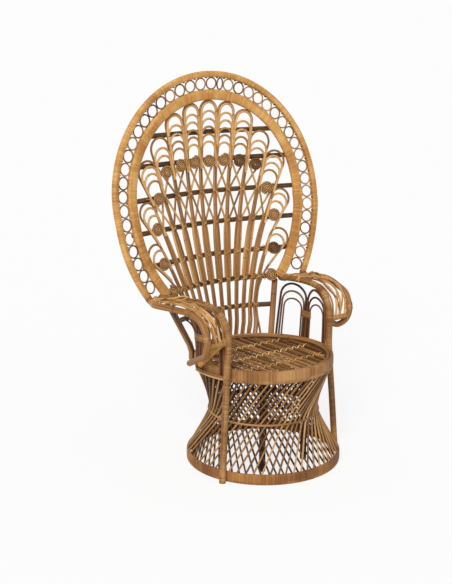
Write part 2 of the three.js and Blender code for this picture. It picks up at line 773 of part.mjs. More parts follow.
// Rear end of the inner pole of an arm, at the foot of the inner rim
const rimEnd = rimPoint(innerTurns[0], innerRimInset);
const armRear = at(rimEnd[0], ARM_REAR_SET, ARM_HEIGHT - ARM_REAR_DROP);
const outerEnd = fanPoint(...rimPoint(outerTurns[0], OUTER_RIM / 2), rimForward);
const outerNext = fanPoint(...rimPoint(outerTurns[1], OUTER_RIM / 2), rimForward);
const outerRun = outerEnd.clone().sub(outerNext).normalize();
const outerPoleHeight = ARM_HEIGHT - OUTER_POLE_DROP;
const scrollMiddle = ARM_HEIGHT - SCROLL_MIDDLE_DROP;
const scrollLow = ARM_HEIGHT - SCROLL_LOW_DROP;
const scrollDrop = outerPoleHeight - scrollMiddle;
const sideways = at(1, 0, 0);

// Back posts: from the apron ring up behind the lowest coil, beside the rear end of the arm
const postFoot = (z) => ringPoint(SEAT_RADIUS + FIT + POST / 2, POST_TURN, z);
const postX = armRear.x - (LEG + POST) / 2 - FIT;
const postCrown = armRear.z - RAIL / 2;
const postHead = at(postX, fanBack(postX, armRear.z) + (CANE + POST) / 2 + FIT, postCrown);
const postPole = (across) => pole(
  [postFoot(SEAT_HEIGHT - FOOT_LAP), postFoot(SEAT_HEIGHT), postHead],
  outward(postFoot(0)),
  rod(across),
);
const postCutter = postPole(POST + 2 * FIT);

function postAt(z) {
  const share = (z - SEAT_HEIGHT) / (postHead.z - SEAT_HEIGHT);
  return postFoot(SEAT_HEIGHT).lerp(postHead, Math.min(1, Math.max(0, share)));
}

// One side, drawn on the right: a front leg that bends back into the inner pole of the arm, an outer
// pole that scrolls, canes between the two poles, and a panel of nested arches on the apron ring
function armSide(legTurn, legFlare, hasTail) {
  const legTilt = (SEAT_RADIUS - BASE_RADIUS) / (SEAT_HEIGHT - BASE_BAND);
  const bendHeight = ARM_HEIGHT - ARM_BEND_RISE;
  const legAt = (z) => {
    const straight = BASE_RADIUS + FIT + LEG / 2 + legTilt * (z - BASE_BAND);
    const flare = legFlare * Math.max(0, (z - SEAT_HEIGHT) / (bendHeight - SEAT_HEIGHT));
    return ringPoint(straight + flare, legTurn, z);
  };
  const bendLow = legAt(bendHeight);
  const armPoint = (y, z) => {
    const share = (y - bendLow.y) / (armRear.y - bendLow.y);
    return at(mix(bendLow.x, armRear.x, share), y, z);
  };
  const legLine = [legAt(-LEG), legAt(BASE_BAND), legAt(WAIST_HEIGHT), legAt(SEAT_HEIGHT), bendLow];
  for (const turn of [30, 60, 90]) {
    const y = bendLow.y + ARM_BEND_RUN * (1 - Math.cos(turn * DEGREE));
    legLine.push(armPoint(y, bendLow.z + ARM_BEND_RISE * Math.sin(turn * DEGREE)));
  }
  legLine.push(armPoint(mix(bendLow.y + ARM_BEND_RUN, armRear.y, 0.5), ARM_HEIGHT), armRear);
  const legCurve = new THREE.CatmullRomCurve3(legLine, false, 'centripetal');
  const legStations = legCurve.getSpacedPoints(POLE_STEPS);
  const legPole = (across) => pole(legStations, outward(bendLow), rod(across));
  const legCutter = legPole(LEG + 2 * FIT);
  const floorBlock = new THREE.BoxGeometry(4 * LEG, 4 * LEG, 2 * LEG);
  floorBlock.translate(legAt(0).x, legAt(0).y, -LEG);
  const legAndArm = trimmed(legPole(LEG), [floorBlock]);
  const backPost = trimmed(postPole(POST), [legCutter]);

  const scrollFront = bendLow.y - SCROLL_FRONT;
  const scrollX = bendLow.x + SCROLL_REACH;
  const outerY = (share) => mix(outerEnd.y, scrollFront, share);
  const outerX = (share) => mix(outerEnd.x, scrollX, share);
  const poleStart = outerEnd.clone().addScaledVector(outerRun, POLE_JOINT);
  const outerLine = [
    outerEnd.clone().addScaledVector(outerRun, OUTER_POLE / 2),
    at(outerEnd.x, outerY(0.12), outerPoleHeight - OUTER_POLE / 3),
    at(outerEnd.x + OUTER_POLE_BULGE, outerY(0.3), outerPoleHeight),
    at(outerX(0.45) + OUTER_POLE_BULGE, outerY(0.5), outerPoleHeight),
    at(outerX(0.7), outerY(0.75), outerPoleHeight - scrollDrop / 12),
    at(outerX(0.84), outerY(0.92), outerPoleHeight - scrollDrop / 3),
    at(scrollX, scrollFront, scrollMiddle),
    at(scrollX - OUTER_POLE / 4, outerY(0.95), mix(scrollMiddle, scrollLow, 0.65)),
    at(scrollX - OUTER_POLE, outerY(0.87), scrollLow),
  ];
  const tailRadius = SEAT_RADIUS + FIT + PANEL_CANE + TAIL_CLEAR + OUTER_POLE / 2;
  const tail = [
    ringPoint(tailRadius + OUTER_POLE / 3, TAIL_TURNS[0], mix(scrollLow, SEAT_HEIGHT, 0.6)),
    ringPoint(tailRadius, TAIL_TURNS[1], SEAT_HEIGHT),
    ringPoint(tailRadius, TAIL_TURNS[2], SEAT_HEIGHT - OUTER_POLE),
  ];
  const curl = [
    at(scrollX - 1.9 * OUTER_POLE, outerY(0.85), scrollLow + OUTER_POLE / 3),
    at(scrollX - 2.6 * OUTER_POLE, outerY(0.88), scrollLow + OUTER_POLE),
  ];
  const outerPoints = [...outerLine, ...(hasTail ? tail : curl)];
  const outerCurve = new THREE.CatmullRomCurve3(outerPoints, false, 'centripetal');
  const outerStations = [poleStart, ...outerCurve.getSpacedPoints(POLE_STEPS)];
  const outerPole = (across) => pole(outerStations, sideways, rod(across));

  // Bent canes come down onto a wrapped crossbar
  const barHeight = ARM_HEIGHT - CROSSBAR_DROP;
  const barInner = legAt(barHeight);
  const barOuter = at(scrollX - OUTER_POLE / 6, outerY(0.98), barHeight);
  const armPieces = [pole([barInner, barOuter], at(0, 0, 1), rod(CROSSBAR))];
  for (let n = 1; n <= ARM_CANE_COUNT; n += 1) {
    const share = n / (ARM_CANE_COUNT + 1);
    const between = (y, z) => {
      const outerShare = (y - outerEnd.y) / (scrollFront - outerEnd.y);
      return at(mix(armPoint(y, z).x, outerX(outerShare) + OUTER_POLE_BULGE / 2, share), y, z);
    };
    const rise = ARM_HEIGHT + ARM_CANE / 2;
    const line = [
      between(outerY(0.08), ARM_HEIGHT),
      between(outerY(0.4), rise),
      between(outerY(0.66), rise),
      between(outerY(0.84), rise - scrollDrop / 5),
      between(outerY(0.94), rise - scrollDrop / 1.7),
      barInner.clone().lerp(barOuter, share),
    ];
    armPieces.push(bentPole(line, 9, sideways, strip(ARM_CANE, ARM_CANE)));
  }
  const armCanes = trimmed(joined(armPieces), [legCutter, outerPole(OUTER_POLE + 2 * FIT)]);

  // Two groups of nested arches share a bound bundle
  const panelRadius = SEAT_RADIUS + FIT + PANEL_CANE / 2;
  const panelPitch = PANEL_CANE + FIT;
  const legFootY = legAt(SEAT_HEIGHT).y;
  const postFootY = postFoot(SEAT_HEIGHT).y;
  const bundleSet = mix(legFootY, postFootY, BUNDLE_SHARE);
  const poleYAt = (z) => {
    const bent = legStations.find((station) => station.z >= z && station.y < bendLow.y + ARM_BEND_RUN);
    return bent ? bent.y : bendLow.y + ARM_BEND_RUN / 2;
  };
  const panelPoint = (s, z) => {
    const rear = Math.min(1, Math.max(0, (s - bundleSet) / (postFootY - bundleSet)));
    const front = Math.min(1, Math.max(0, (bundleSet - s) / (bundleSet - legFootY)));
    const rearShift = rear * (postAt(Math.max(z, SEAT_HEIGHT)).y - postFootY);
    const frontShift = front * (poleYAt(z) - legFootY);
    const y = s + rearShift + (z > SEAT_HEIGHT ? frontShift : 0);
    const share = Math.min(1, Math.max(0, (z - SEAT_HEIGHT) / (ARM_HEIGHT - SEAT_HEIGHT)));
    return at(mix(halfChord(panelRadius, s), armPoint(y, z).x, share), y, z);
  };
  const crownTop = ARM_HEIGHT - LEG / 2 - PANEL_CROWN;
  const panelFoot = SEAT_HEIGHT - FOOT_LAP;
  const frontSide = legFootY + (LEG + PANEL_CANE) / 2 + 2 * PANEL_CANE / 3;
  const rearSide = postFootY - (POST + PANEL_CANE) / 2 - 2 * PANEL_CANE / 3;
  const panelArch = (from, to, top) => {
    const half = Math.abs(to - from) / 2;
    const spring = top - half * 0.9;
    const line = [[from, panelFoot], [from, SEAT_HEIGHT]];
    for (let n = 0; n <= PANEL_STEPS; n += 1) {
      const turn = Math.PI * n / PANEL_STEPS;
      const s = mix(from, to, (1 - Math.cos(turn)) / 2);
      line.push([s, spring + (top - spring) * Math.sin(turn)]);
    }
    line.push([to, SEAT_HEIGHT], [to, panelFoot]);
    return pole(line.map(([s, z]) => panelPoint(s, z)), outward, strip(PANEL_CANE, PANEL_CANE));
  };
  const panelPieces = [];
  for (let n = 0; n < PANEL_ARCHES; n += 1) {
    const shift = panelPitch * (n + 0.5);
    const top = crownTop - PANEL_CANE / 2 - PANEL_FALL * n;
    panelPieces.push(panelArch(bundleSet + shift, rearSide - panelPitch * n, top));
    panelPieces.push(panelArch(bundleSet - shift, frontSide + panelPitch * n, top));
  }
  const bundleWide = 2 * PANEL_ARCHES * panelPitch + 2 * PANEL_BAND_LAP;
  const bundleAt = panelPoint(bundleSet, ARM_HEIGHT - PANEL_BAND_DROP);
  const binding = new THREE.BoxGeometry(PANEL_CANE + 2 * PANEL_BAND_LAP, bundleWide, PANEL_BAND);
  panelPieces.push(binding.translate(bundleAt.x, bundleAt.y, bundleAt.z));
  const panel = trimmed(joined(panelPieces), [legCutter, postCutter]);
  return { legAndArm, legCutter, backPost, outerPole: outerPole(OUTER_POLE), armCanes, panel };
}

const right = armSide(LEG_TURN_RIGHT, LEG_FLARE_RIGHT, false);
const left = armSide(LEG_TURN_LEFT, LEG_FLARE_LEFT, true);
for (const [word, side, turned] of [['right', right, (piece) => piece], ['left', left, mirrored]]) {
  place(arms, `leg_and_arm_${word}`, turned(side.legAndArm), GOLD);
  place(arms, `back_post_${word}`, turned(side.backPost), TAN);
  place(arms, `outer_arm_pole_${word}`, turned(side.outerPole), GOLD);
  place(arms, `arm_canes_${word}`, turned(side.armCanes), TAN);
  place(arms, `arm_panel_${word}`, turned(side.panel), BROWN);
}
place(fan, 'inner_rim', trimmed(innerRim, [right.legCutter, mirrored(left.legCutter)]), GOLD);

// Rails cross behind every stem; those above the arms end behind the inner rim, the lowest in the posts
function rimReach(z, inset) {
  let low = -85;
  let high = 90;
  for (let n = 0; n < 50; n += 1) {
    const middle = (low + high) / 2;
    if (rimPoint(middle, inset)[1] > z) high = middle;
    else low = middle;
  }
  return rimPoint(low, inset)[0];
}

// What is taken off a low rail: both posts, and everything from the heart of each post outwards
function railCutters(z) {
  const block = new THREE.BoxGeometry(2 * POST, 4 * POST, 4 * POST);
  block.translate(postAt(z).x - POST / 3 + POST, postAt(z).y, z);
  return [postCutter, mirrored(postCutter), block, mirrored(block)];
}

railHeights.forEach((z, n) => {
  const lowReach = z > postHead.z ? armRear.x - LEG / 2 - RAIL / 4 : postAt(z).x;
  const reach = z > rimEnd[1] ? rimReach(z, innerRimInset) : lowReach;
  const marks = stems.map(({ x }) => x(z));
  const wide = marks.slice(1).filter((x, place) => x - marks[place] > 2.5 * RAIL);
  const between = wide.map((x) => (x + marks[marks.indexOf(x) - 1]) / 2);
  const half = [...marks, ...between].filter((x) => x < reach - RAIL).sort((a, b) => a - b);
  const xs = [-reach, ...half.map((x) => -x).reverse(), 0, ...half, reach];
  const forward = -(CANE / 2 + RAIL_GAP + RAIL / 2);
  const rail = flatRun(xs.map((x) => [x, z]), forward, strip(RAIL, RAIL));
  place(fan, `rail_${n + 1}`, z > postHead.z ? rail : trimmed(rail, railCutters(z)), DARK);
});

const reach = new THREE.Box3().setFromObject(chair);
chair.position.y = -(reach.min.y + reach.max.y) / 2;

export default chair;
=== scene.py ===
# %% [markdown]
# A rattan fan-back armchair: a waisted drum of slanted canes, a slatted round seat, two scrolled
# arms and a tall dished fan with rings, arches and coils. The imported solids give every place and
# size. Each cell dresses one piece of the chair over them, from the floor up.

# %% Load the solids
import math
import random

import bpy
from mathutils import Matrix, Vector


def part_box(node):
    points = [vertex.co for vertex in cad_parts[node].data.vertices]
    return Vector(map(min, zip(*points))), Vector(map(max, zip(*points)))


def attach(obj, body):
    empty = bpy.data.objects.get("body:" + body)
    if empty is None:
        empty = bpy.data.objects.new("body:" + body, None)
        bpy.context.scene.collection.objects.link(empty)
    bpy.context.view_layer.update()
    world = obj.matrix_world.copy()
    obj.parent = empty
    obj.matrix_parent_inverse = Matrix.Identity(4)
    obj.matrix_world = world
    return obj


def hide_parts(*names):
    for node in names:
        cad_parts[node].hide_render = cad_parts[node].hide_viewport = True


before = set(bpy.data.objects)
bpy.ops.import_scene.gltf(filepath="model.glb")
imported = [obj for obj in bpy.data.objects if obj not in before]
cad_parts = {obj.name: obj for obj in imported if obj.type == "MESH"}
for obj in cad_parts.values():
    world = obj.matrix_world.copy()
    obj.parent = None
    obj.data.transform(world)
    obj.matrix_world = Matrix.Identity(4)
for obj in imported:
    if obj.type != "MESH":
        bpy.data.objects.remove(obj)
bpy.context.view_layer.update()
MID_Y = sum(corner.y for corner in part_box("base_ring")) / 2
print("solids:", len(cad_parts), "middle of the drum at y", round(MID_Y, 5))

# %% [markdown]
# The camera stands left of the front, a little higher than the crest of the fan, and looks down by
# about fourteen degrees. Its place was worked out from the chair's own known heights and circles.

# %% Camera
bpy.ops.object.select_all(action="DESELECT")
bpy.ops.object.camera_add(
    location=(-2.49622, MID_Y - 3.08387, 1.6036),
    rotation=(math.radians(76.414), 0, math.radians(-36.94)),
)
camera = bpy.context.object
camera.data.lens = 67.73
camera.data.sensor_width = 36
bpy.context.scene.camera = camera
print("camera at", [round(number, 3) for number in camera.location])

# %% [markdown]
# The light is a white room with one wide soft lamp from the upper left. The two add up to about
# one on a level surface, so a colour shows about as it is written. What the camera sees past the
# floor, or finds mirrored in a piece, is plain white. The floor keeps the soft shadow of the drum.

# %% Light and floor
ROOM_LIGHT, BACKDROP, LAMP_POWER = 0.48, 0.98, 2.3


def add_nodes(tree, *kinds):
    return [tree.nodes.new("ShaderNode" + kind) for kind in kinds]


def wire(tree, *links):
    """Joins sockets: each link is a node, its output, the next node and its input."""
    for source, leaving, target, entering in links:
        tree.links.new(source.outputs[leaving], target.inputs[entering])


scene = bpy.context.scene
scene.view_settings.view_transform = "Standard"
room = bpy.data.worlds.new("white room")
scene.world = room
room.use_nodes = True
air = room.node_tree
air.nodes.clear()
soft, plain, path, either, every, choose, sky = add_nodes(
    air, "Background", "Background", "LightPath", "Math", "Math", "MixShader", "OutputWorld")
for shade, strength in ((soft, ROOM_LIGHT), (plain, BACKDROP)):
    shade.inputs["Color"].default_value = (1, 1, 1, 1)
    shade.inputs["Strength"].default_value = strength
either.operation = every.operation = "MAXIMUM"
wire(
    air,
    (path, "Is Camera Ray", either, 0), (path, "Is Glossy Ray", either, 1),
    (either, 0, every, 0), (path, "Is Transmission Ray", every, 1),
    (every, 0, choose, 0), (soft, 0, choose, 1), (plain, 0, choose, 2), (choose, 0, sky, 0),
)

bpy.ops.object.light_add(type="SUN", rotation=(math.radians(52), 0, math.radians(-50)))
lamp = bpy.context.object
lamp.data.energy = LAMP_POWER
lamp.data.angle = math.radians(28)

bpy.ops.mesh.primitive_plane_add(size=60, location=(0, 0, -0.0006))
floor = bpy.context.object
floor.name = "floor"
print("lamp", LAMP_POWER, "room", ROOM_LIGHT)

# %% [markdown]
# Rattan has two looks on this chair. A bare pole or cane shows streaks along its length, patches
# of tone and a dark joint every hand's span. A wrapped pole is covered with flat split strips,
# each a slightly different tone, with a dark line of painted shade in the low groove where two
# meet. Both finishes read the piece's own map: across it in metres, and along it in metres on bare
# cane or in strips on a wrapping.

# %% The finish maker
GLOSS, RELIEF = 0.32, 0.0006


def paint(red, green, blue):
    """A colour read off as 0 to 255 per channel, made linear."""
    shares = [channel / 255 for channel in (red, green, blue)]
    curved = [s / 12.92 if s < 0.04045 else ((s + 0.055) / 1.055) ** 2.4 for s in shares]
    return (*curved, 1.0)


class Finish:
    """A material and the few nodes that every finish here is made of."""

    def __init__(self, name):
        self.material = bpy.data.materials.new(name)
        self.material.use_nodes = True
        self.tree = self.material.node_tree
        self.shader = self.tree.nodes["Principled BSDF"]
        self.map = self.add("ShaderNodeUVMap")
        self.map.uv_map = "along"
        self.parts = self.add("ShaderNodeSeparateXYZ")
        self.join(self.map.outputs[0], self.parts.inputs[0])

    def add(self, kind, **settings):
        node = self.tree.nodes.new(kind)
        for key, value in settings.items():
            setattr(node, key, value)
        return node

    def join(self, source, target):
        self.tree.links.new(source, target)

    def sum(self, operation, *values):
        node = self.add("ShaderNodeMath", operation=operation)
        for place, value in enumerate(values):
            if isinstance(value, (int, float)):
                node.inputs[place].default_value = value
            else:
                self.join(value, node.inputs[place])
        return node.outputs[0]

    def grain(self, across, along, detail=3.0):
        """Noise stretched by its own scale across and along the piece."""
        stretch = self.add("ShaderNodeMapping")
        stretch.inputs["Scale"].default_value = (across, along, 1)
        self.join(self.map.outputs[0], stretch.inputs["Vector"])
        noise = self.add("ShaderNodeTexNoise", noise_dimensions="2D")
        noise.inputs["Scale"].default_value = 1
        noise.inputs["Detail"].default_value = detail
        self.join(stretch.outputs[0], noise.inputs["Vector"])
        return noise.outputs["Fac"]

    def blend(self, *pairs):
        """The sum of a few values, each with its own weight."""
        total = 0.0
        for value, weight in pairs:
            total = self.sum("MULTIPLY_ADD", value, weight, total)
        return total

    def chance(self, value):
        """A value of its own for each whole number."""
        node = self.add("ShaderNodeTexWhiteNoise", noise_dimensions="1D")
        self.join(self.sum("FLOOR", value), node.inputs["W"])
        return node.outputs["Value"]

    def ramp(self, value, places, tones):
        node = self.add("ShaderNodeValToRGB")
        while len(node.color_ramp.elements) < len(tones):
            node.color_ramp.elements.new(0.5)
        for element, place, tone in zip(node.color_ramp.elements, places, tones):
            element.position = place
            element.color = paint(*tone)
        self.join(value, node.inputs[0])
        return node.outputs[0]

    def darken(self, colour, value, shade):
        """Colour multiplied by a shade where the value is one."""
        node = self.add("ShaderNodeMix", data_type="RGBA", blend_type="MULTIPLY")
        self.join(value, node.inputs["Factor"])
        self.join(colour, node.inputs["A"])
        node.inputs["B"].default_value = shade
        return node.outputs["Result"]

    def close(self, colour, height, rough, bump):
        self.join(colour, self.shader.inputs["Base Color"])
        self.shader.inputs["Specular IOR Level"].default_value = GLOSS
        spread = self.add("ShaderNodeMapRange")
        spread.inputs["To Min"].default_value = rough[0]
        spread.inputs["To Max"].default_value = rough[1]
        self.join(height, spread.inputs["Value"])
        self.join(spread.outputs[0], self.shader.inputs["Roughness"])
        raised = self.add("ShaderNodeBump")
        raised.inputs["Strength"].default_value = bump
        raised.inputs["Distance"].default_value = RELIEF
        self.join(height, raised.inputs["Height"])
        self.join(raised.outputs[0], self.shader.inputs["Normal"])
        print("finish:", self.material.name)
        return self.material


print("white as the shader takes it:", paint(255, 255, 255))

# %% [markdown]
# A bare cane takes its tone from streaks, patches and a value of its own. A wrapped pole takes it
# from fibres, patches and a value for each strip. Coiled canes are also darkened along both flanks,
# where their turns press together and no light gets in.

# %% Two kinds of finish
CANE_STEP = 4.0
COIL_CANE, COIL_DEEP, COIL_SIDES = 0.0068, 0.0066, 8
COIL_GIRTH = math.pi * (COIL_CANE + COIL_DEEP) / 2
GROOVE, GROOVE_SHADE = 0.165, (0.16, 0.1, 0.06, 1)
KNOT, KNOT_SHADE, KNOT_DEPTH = 0.012, (0.42, 0.33, 0.25, 1), 0.6
SEAM, SEAM_SHADE, SEAM_DEPTH = 0.44, (0.72, 0.62, 0.52, 1), 0.4


def bare_cane(name, *tones, joint=0.29, girth=None):
    """Streaks, patches and joints; with a girth, also the dark flanks of a coiled cane."""
    finish = Finish(name)
    length = finish.parts.outputs["Y"]
    streaks = finish.grain(420, 3.5)
    patches = finish.grain(9, 2.3, 2.0)
    own = finish.chance(finish.sum("DIVIDE", length, CANE_STEP))
    tone = finish.blend((streaks, 0.41), (patches, 0.37), (own, 0.22))
    colour = finish.ramp(tone, (0.36, 0.5, 0.64), tones)
    wander = finish.grain(0, 1.1, 0.0)
    place = finish.sum("ADD", finish.sum("DIVIDE", length, joint), wander)
    knot = finish.sum("LESS_THAN", finish.sum("FRACT", place), KNOT)
    colour = finish.darken(colour, knot, KNOT_SHADE)
    if girth:
        share = finish.sum("DIVIDE", finish.parts.outputs["X"], girth)
        turn = finish.sum("FRACT", finish.sum("ADD", share, 0.5 / COIL_SIDES))
        away = finish.sum("ABSOLUTE", finish.sum("SUBTRACT", turn, 0.5))
        flank = finish.sum("ABSOLUTE", finish.sum("SUBTRACT", away, 0.25))
        colour = finish.darken(colour, finish.sum("LESS_THAN", flank, GROOVE), GROOVE_SHADE)
    height = finish.sum("SUBTRACT", streaks, finish.sum("MULTIPLY", knot, KNOT_DEPTH))
    return finish.close(colour, height, (0.4, 0.62), 0.35)


def wrapped_cane(name, *tones):
    """Fibres and patches, a tone of its own for each strip, and painted shade in the groove between
    two.
    """
    finish = Finish(name)
    count = finish.parts.outputs["Y"]
    fibres = finish.grain(14, 4.0, 4.0)
    patches = finish.grain(6, 0.045, 2.0)
    tone = finish.blend((finish.chance(count), 0.1), (fibres, 0.45), (patches, 0.45))
    colour = finish.ramp(tone, (0.37, 0.51, 0.66), tones)
    inside = finish.sum("ABSOLUTE", finish.sum("SUBTRACT", finish.sum("FRACT", count), 0.5))
    # Painted shade: the seam mask darkens the low groove between two strips.
    seam = finish.sum("GREATER_THAN", inside, SEAM)
    colour = finish.darken(colour, seam, SEAM_SHADE)
    height = finish.sum("SUBTRACT", fibres, finish.sum("MULTIPLY", seam, SEAM_DEPTH))
    return finish.close(colour, height, (0.42, 0.6), 0.3)


print("girth of the coiled cane:", round(COIL_GIRTH, 4))

# %% [markdown]
# Every finish is one of the two kinds with three tones, from deep to pale. Old rattan is never of
# one colour: poles are golden, the seat is brown with wear, and some canes are nearly black. The
# inner stakes of the drum take darker tones, as painted shade for the dim inside of the drum.

# %% Finishes
WRAP = wrapped_cane("golden wrapping", (166, 112, 52), (204, 150, 80), (226, 182, 112))
BAND = wrapped_cane("deep wrapping", (116, 74, 33), (159, 113, 63), (190, 146, 92))
FOOT = wrapped_cane("brown wrapping", (106, 63, 24), (148, 98, 46), (180, 130, 70))
POLE = bare_cane("golden pole", (120, 75, 34), (175, 125, 66), (212, 165, 101))
CANE = bare_cane("tan cane", (116, 74, 36), (178, 128, 70), (218, 172, 110), joint=0.23)
STAKE_CANE = bare_cane("stake cane", (92, 58, 28), (154, 110, 62), (196, 152, 100), joint=0.23)
# Painted shade: the inner stakes take darker tones than the outer stakes, for the dim inside of the
# drum.
SHADED = bare_cane("shaded stake cane", (42, 23, 10), (84, 52, 25), (130, 90, 50), joint=0.23)
ARCH = bare_cane("dark arch cane", (48, 24, 8), (84, 46, 18), (126, 78, 38), joint=0.23)
DARK = bare_cane("dark pole", (34, 21, 11), (62, 41, 22), (98, 70, 40), joint=0.2)
LOOP = bare_cane("ring cane", (96, 62, 32), (146, 104, 58), (190, 146, 90), joint=0.2)
SEAT = bare_cane("seat cane", (66, 36, 13), (128, 84, 41), (186, 138, 80), joint=0.23)
RAIL = bare_cane("brown pole", (60, 39, 19), (110, 77, 41), (168, 127, 77), joint=0.2)
COIL = bare_cane("coiled cane", (170, 120, 66), (222, 176, 114), (246, 212, 156),
                 joint=0.2, girth=COIL_GIRTH)
DARK_COIL = bare_cane("dark coiled cane", (110, 70, 32), (150, 106, 58), (190, 144, 86),
                      joint=0.2, girth=COIL_GIRTH)
TIE = bare_cane("tan lashing", (138, 96, 48), (184, 138, 78), (216, 174, 112), joint=0.5)
LASH = bare_cane("pale lashing", (176, 130, 66), (214, 172, 104), (236, 204, 142), joint=0.5)
NAIL = bare_cane("dark nail", (30, 20, 12), (52, 36, 22), (80, 58, 38), joint=0.5)

# %% [markdown]
# The floor is a plain pale sheet with a faint mottle, read from its own object coordinates. To the
# camera it also glows, so it goes over into the white background with no line between.

# %% Floor finish
sheet = bpy.data.materials.new("pale floor")
sheet.use_nodes = True
paper = sheet.node_tree
matt, surface = paper.nodes["Principled BSDF"], paper.nodes["Material Output"]
place, mottle, tint, glow, seen, share, both = add_nodes(
    paper, "TexCoord", "TexNoise", "ValToRGB", "Emission", "LightPath", "Math", "MixShader")
share.operation = "MULTIPLY"
for node, socket, value in (
    (mottle, "Scale", 3), (matt, "Roughness", 0.9), (matt, "Specular IOR Level", 0.0),
    (glow, "Strength", 1.0), (share, 1, 0.8),
):
    node.inputs[socket].default_value = value
for element, grey in zip(tint.color_ramp.elements, (0.955, 0.98)):
    element.color = (grey, grey, grey, 1)
wire(
    paper,
    (place, "Object", mottle, "Vector"), (mottle, "Fac", tint, 0), (tint, 0, matt, "Base Color"),
    (seen, "Is Camera Ray", share, 0), (share, 0, both, 0),
    (matt, 0, both, 1), (glow, 0, both, 2), (both, 0, surface, "Surface"),
)
floor.data.materials.append(sheet)
print("floor finish:", sheet.name)

# %% [markdown]
# Nearly every piece is a bent cane, and a cane starts as a run of points along its middle. The run
# is drawn through a few chosen points by a curve that does not overshoot, and is then divided
# evenly, so that it bends as smoothly as a steamed cane does.

# %% Runs of points
CURVE_STEPS = 12
UP = Vector((0, 0, 1))


def spaced(start, end, steps):
    """Evenly spaced numbers from start to end, both included."""
    return [start + (end - start) * step / steps for step in range(steps + 1)]


def part_of(value, low, high):
    """How far a value is on the way from low to high, from 0 to 1."""
    return min(1.0, max(0.0, (value - low) / (high - low)))


def lengths_along(points):
    total = [0.0]
    for first, second in zip(points, points[1:]):
        total.append(total[-1] + (second - first).length)
    return total


def pick(points, marks):
    """The points that lie at the given lengths along a run."""
    total = lengths_along(points)
    found = []
    step = 0
    for mark in marks:
        while step < len(points) - 2 and total[step + 1] < mark:
            step += 1
        share = (mark - total[step]) / max(1e-9, total[step + 1] - total[step])
        found.append(points[step].lerp(points[step + 1], share))
    return found


def even(points, spacing):
    length = lengths_along(points)[-1]
    return pick(points, spaced(0.0, length, max(2, math.ceil(length / spacing))))


def bent(points, spacing):
    """A smooth run through a few points, without overshoot where they are uneven."""
    points = [Vector(point) for point in points]
    ends = [2 * points[0] - points[1], *points, 2 * points[-1] - points[-2]]
    run = []
    for a, b, c, d in zip(ends, ends[1:], ends[2:], ends[3:]):
        t1 = (b - a).length ** 0.5
        t2 = t1 + (c - b).length ** 0.5
        t3 = t2 + (d - c).length ** 0.5
        for step in range(CURVE_STEPS):
            t = t1 + (t2 - t1) * step / CURVE_STEPS
            ab = a.lerp(b, t / t1)
            bc = b.lerp(c, (t - t1) / (t2 - t1))
            cd = c.lerp(d, (t - t2) / (t3 - t2))
            near, far = ab.lerp(bc, t / t2), bc.lerp(cd, (t - t1) / (t3 - t1))
            run.append(near.lerp(far, (t - t1) / (t2 - t1)))
    return even([*run, points[-1]], spacing)


def ring_point(radius, turn, height):
    """A point on a circle about the drum's axis; turn 0 is the front and 90 the sitter's left."""
    turn = math.radians(turn)
    return Vector((radius * math.sin(turn), -radius * math.cos(turn), height))


def outward(point):
    return Vector((point.x, point.y, 0)).normalized()


corner = bent([(0, 0, 0), (0, 0.1, 0), (0.1, 0.1, 0)], 0.01)
print("a bend of three points has", len(corner), "stations")

# %% [markdown]
# A bevelled curve could draw a cane along such a run, but it twists on the dished fan, keeps no
# measure along its length and has no ridges. So a small helper carries a round or flat section
# along the run, turns it to face a given way, bridges the rings and writes the map that the
# finishes read. A wrapped pole is the same, with a low groove before each strip.

# %% The cane maker
ROUND_REACH, ROUND_SIZE = 0.22, 0.55
STRIP_PROFILE, STRIP_OFFSET = ((0.0, 0.0005), (0.17, 0.0), (0.83, 0.0)), 37
SMOOTH_ANGLE = math.radians(40)


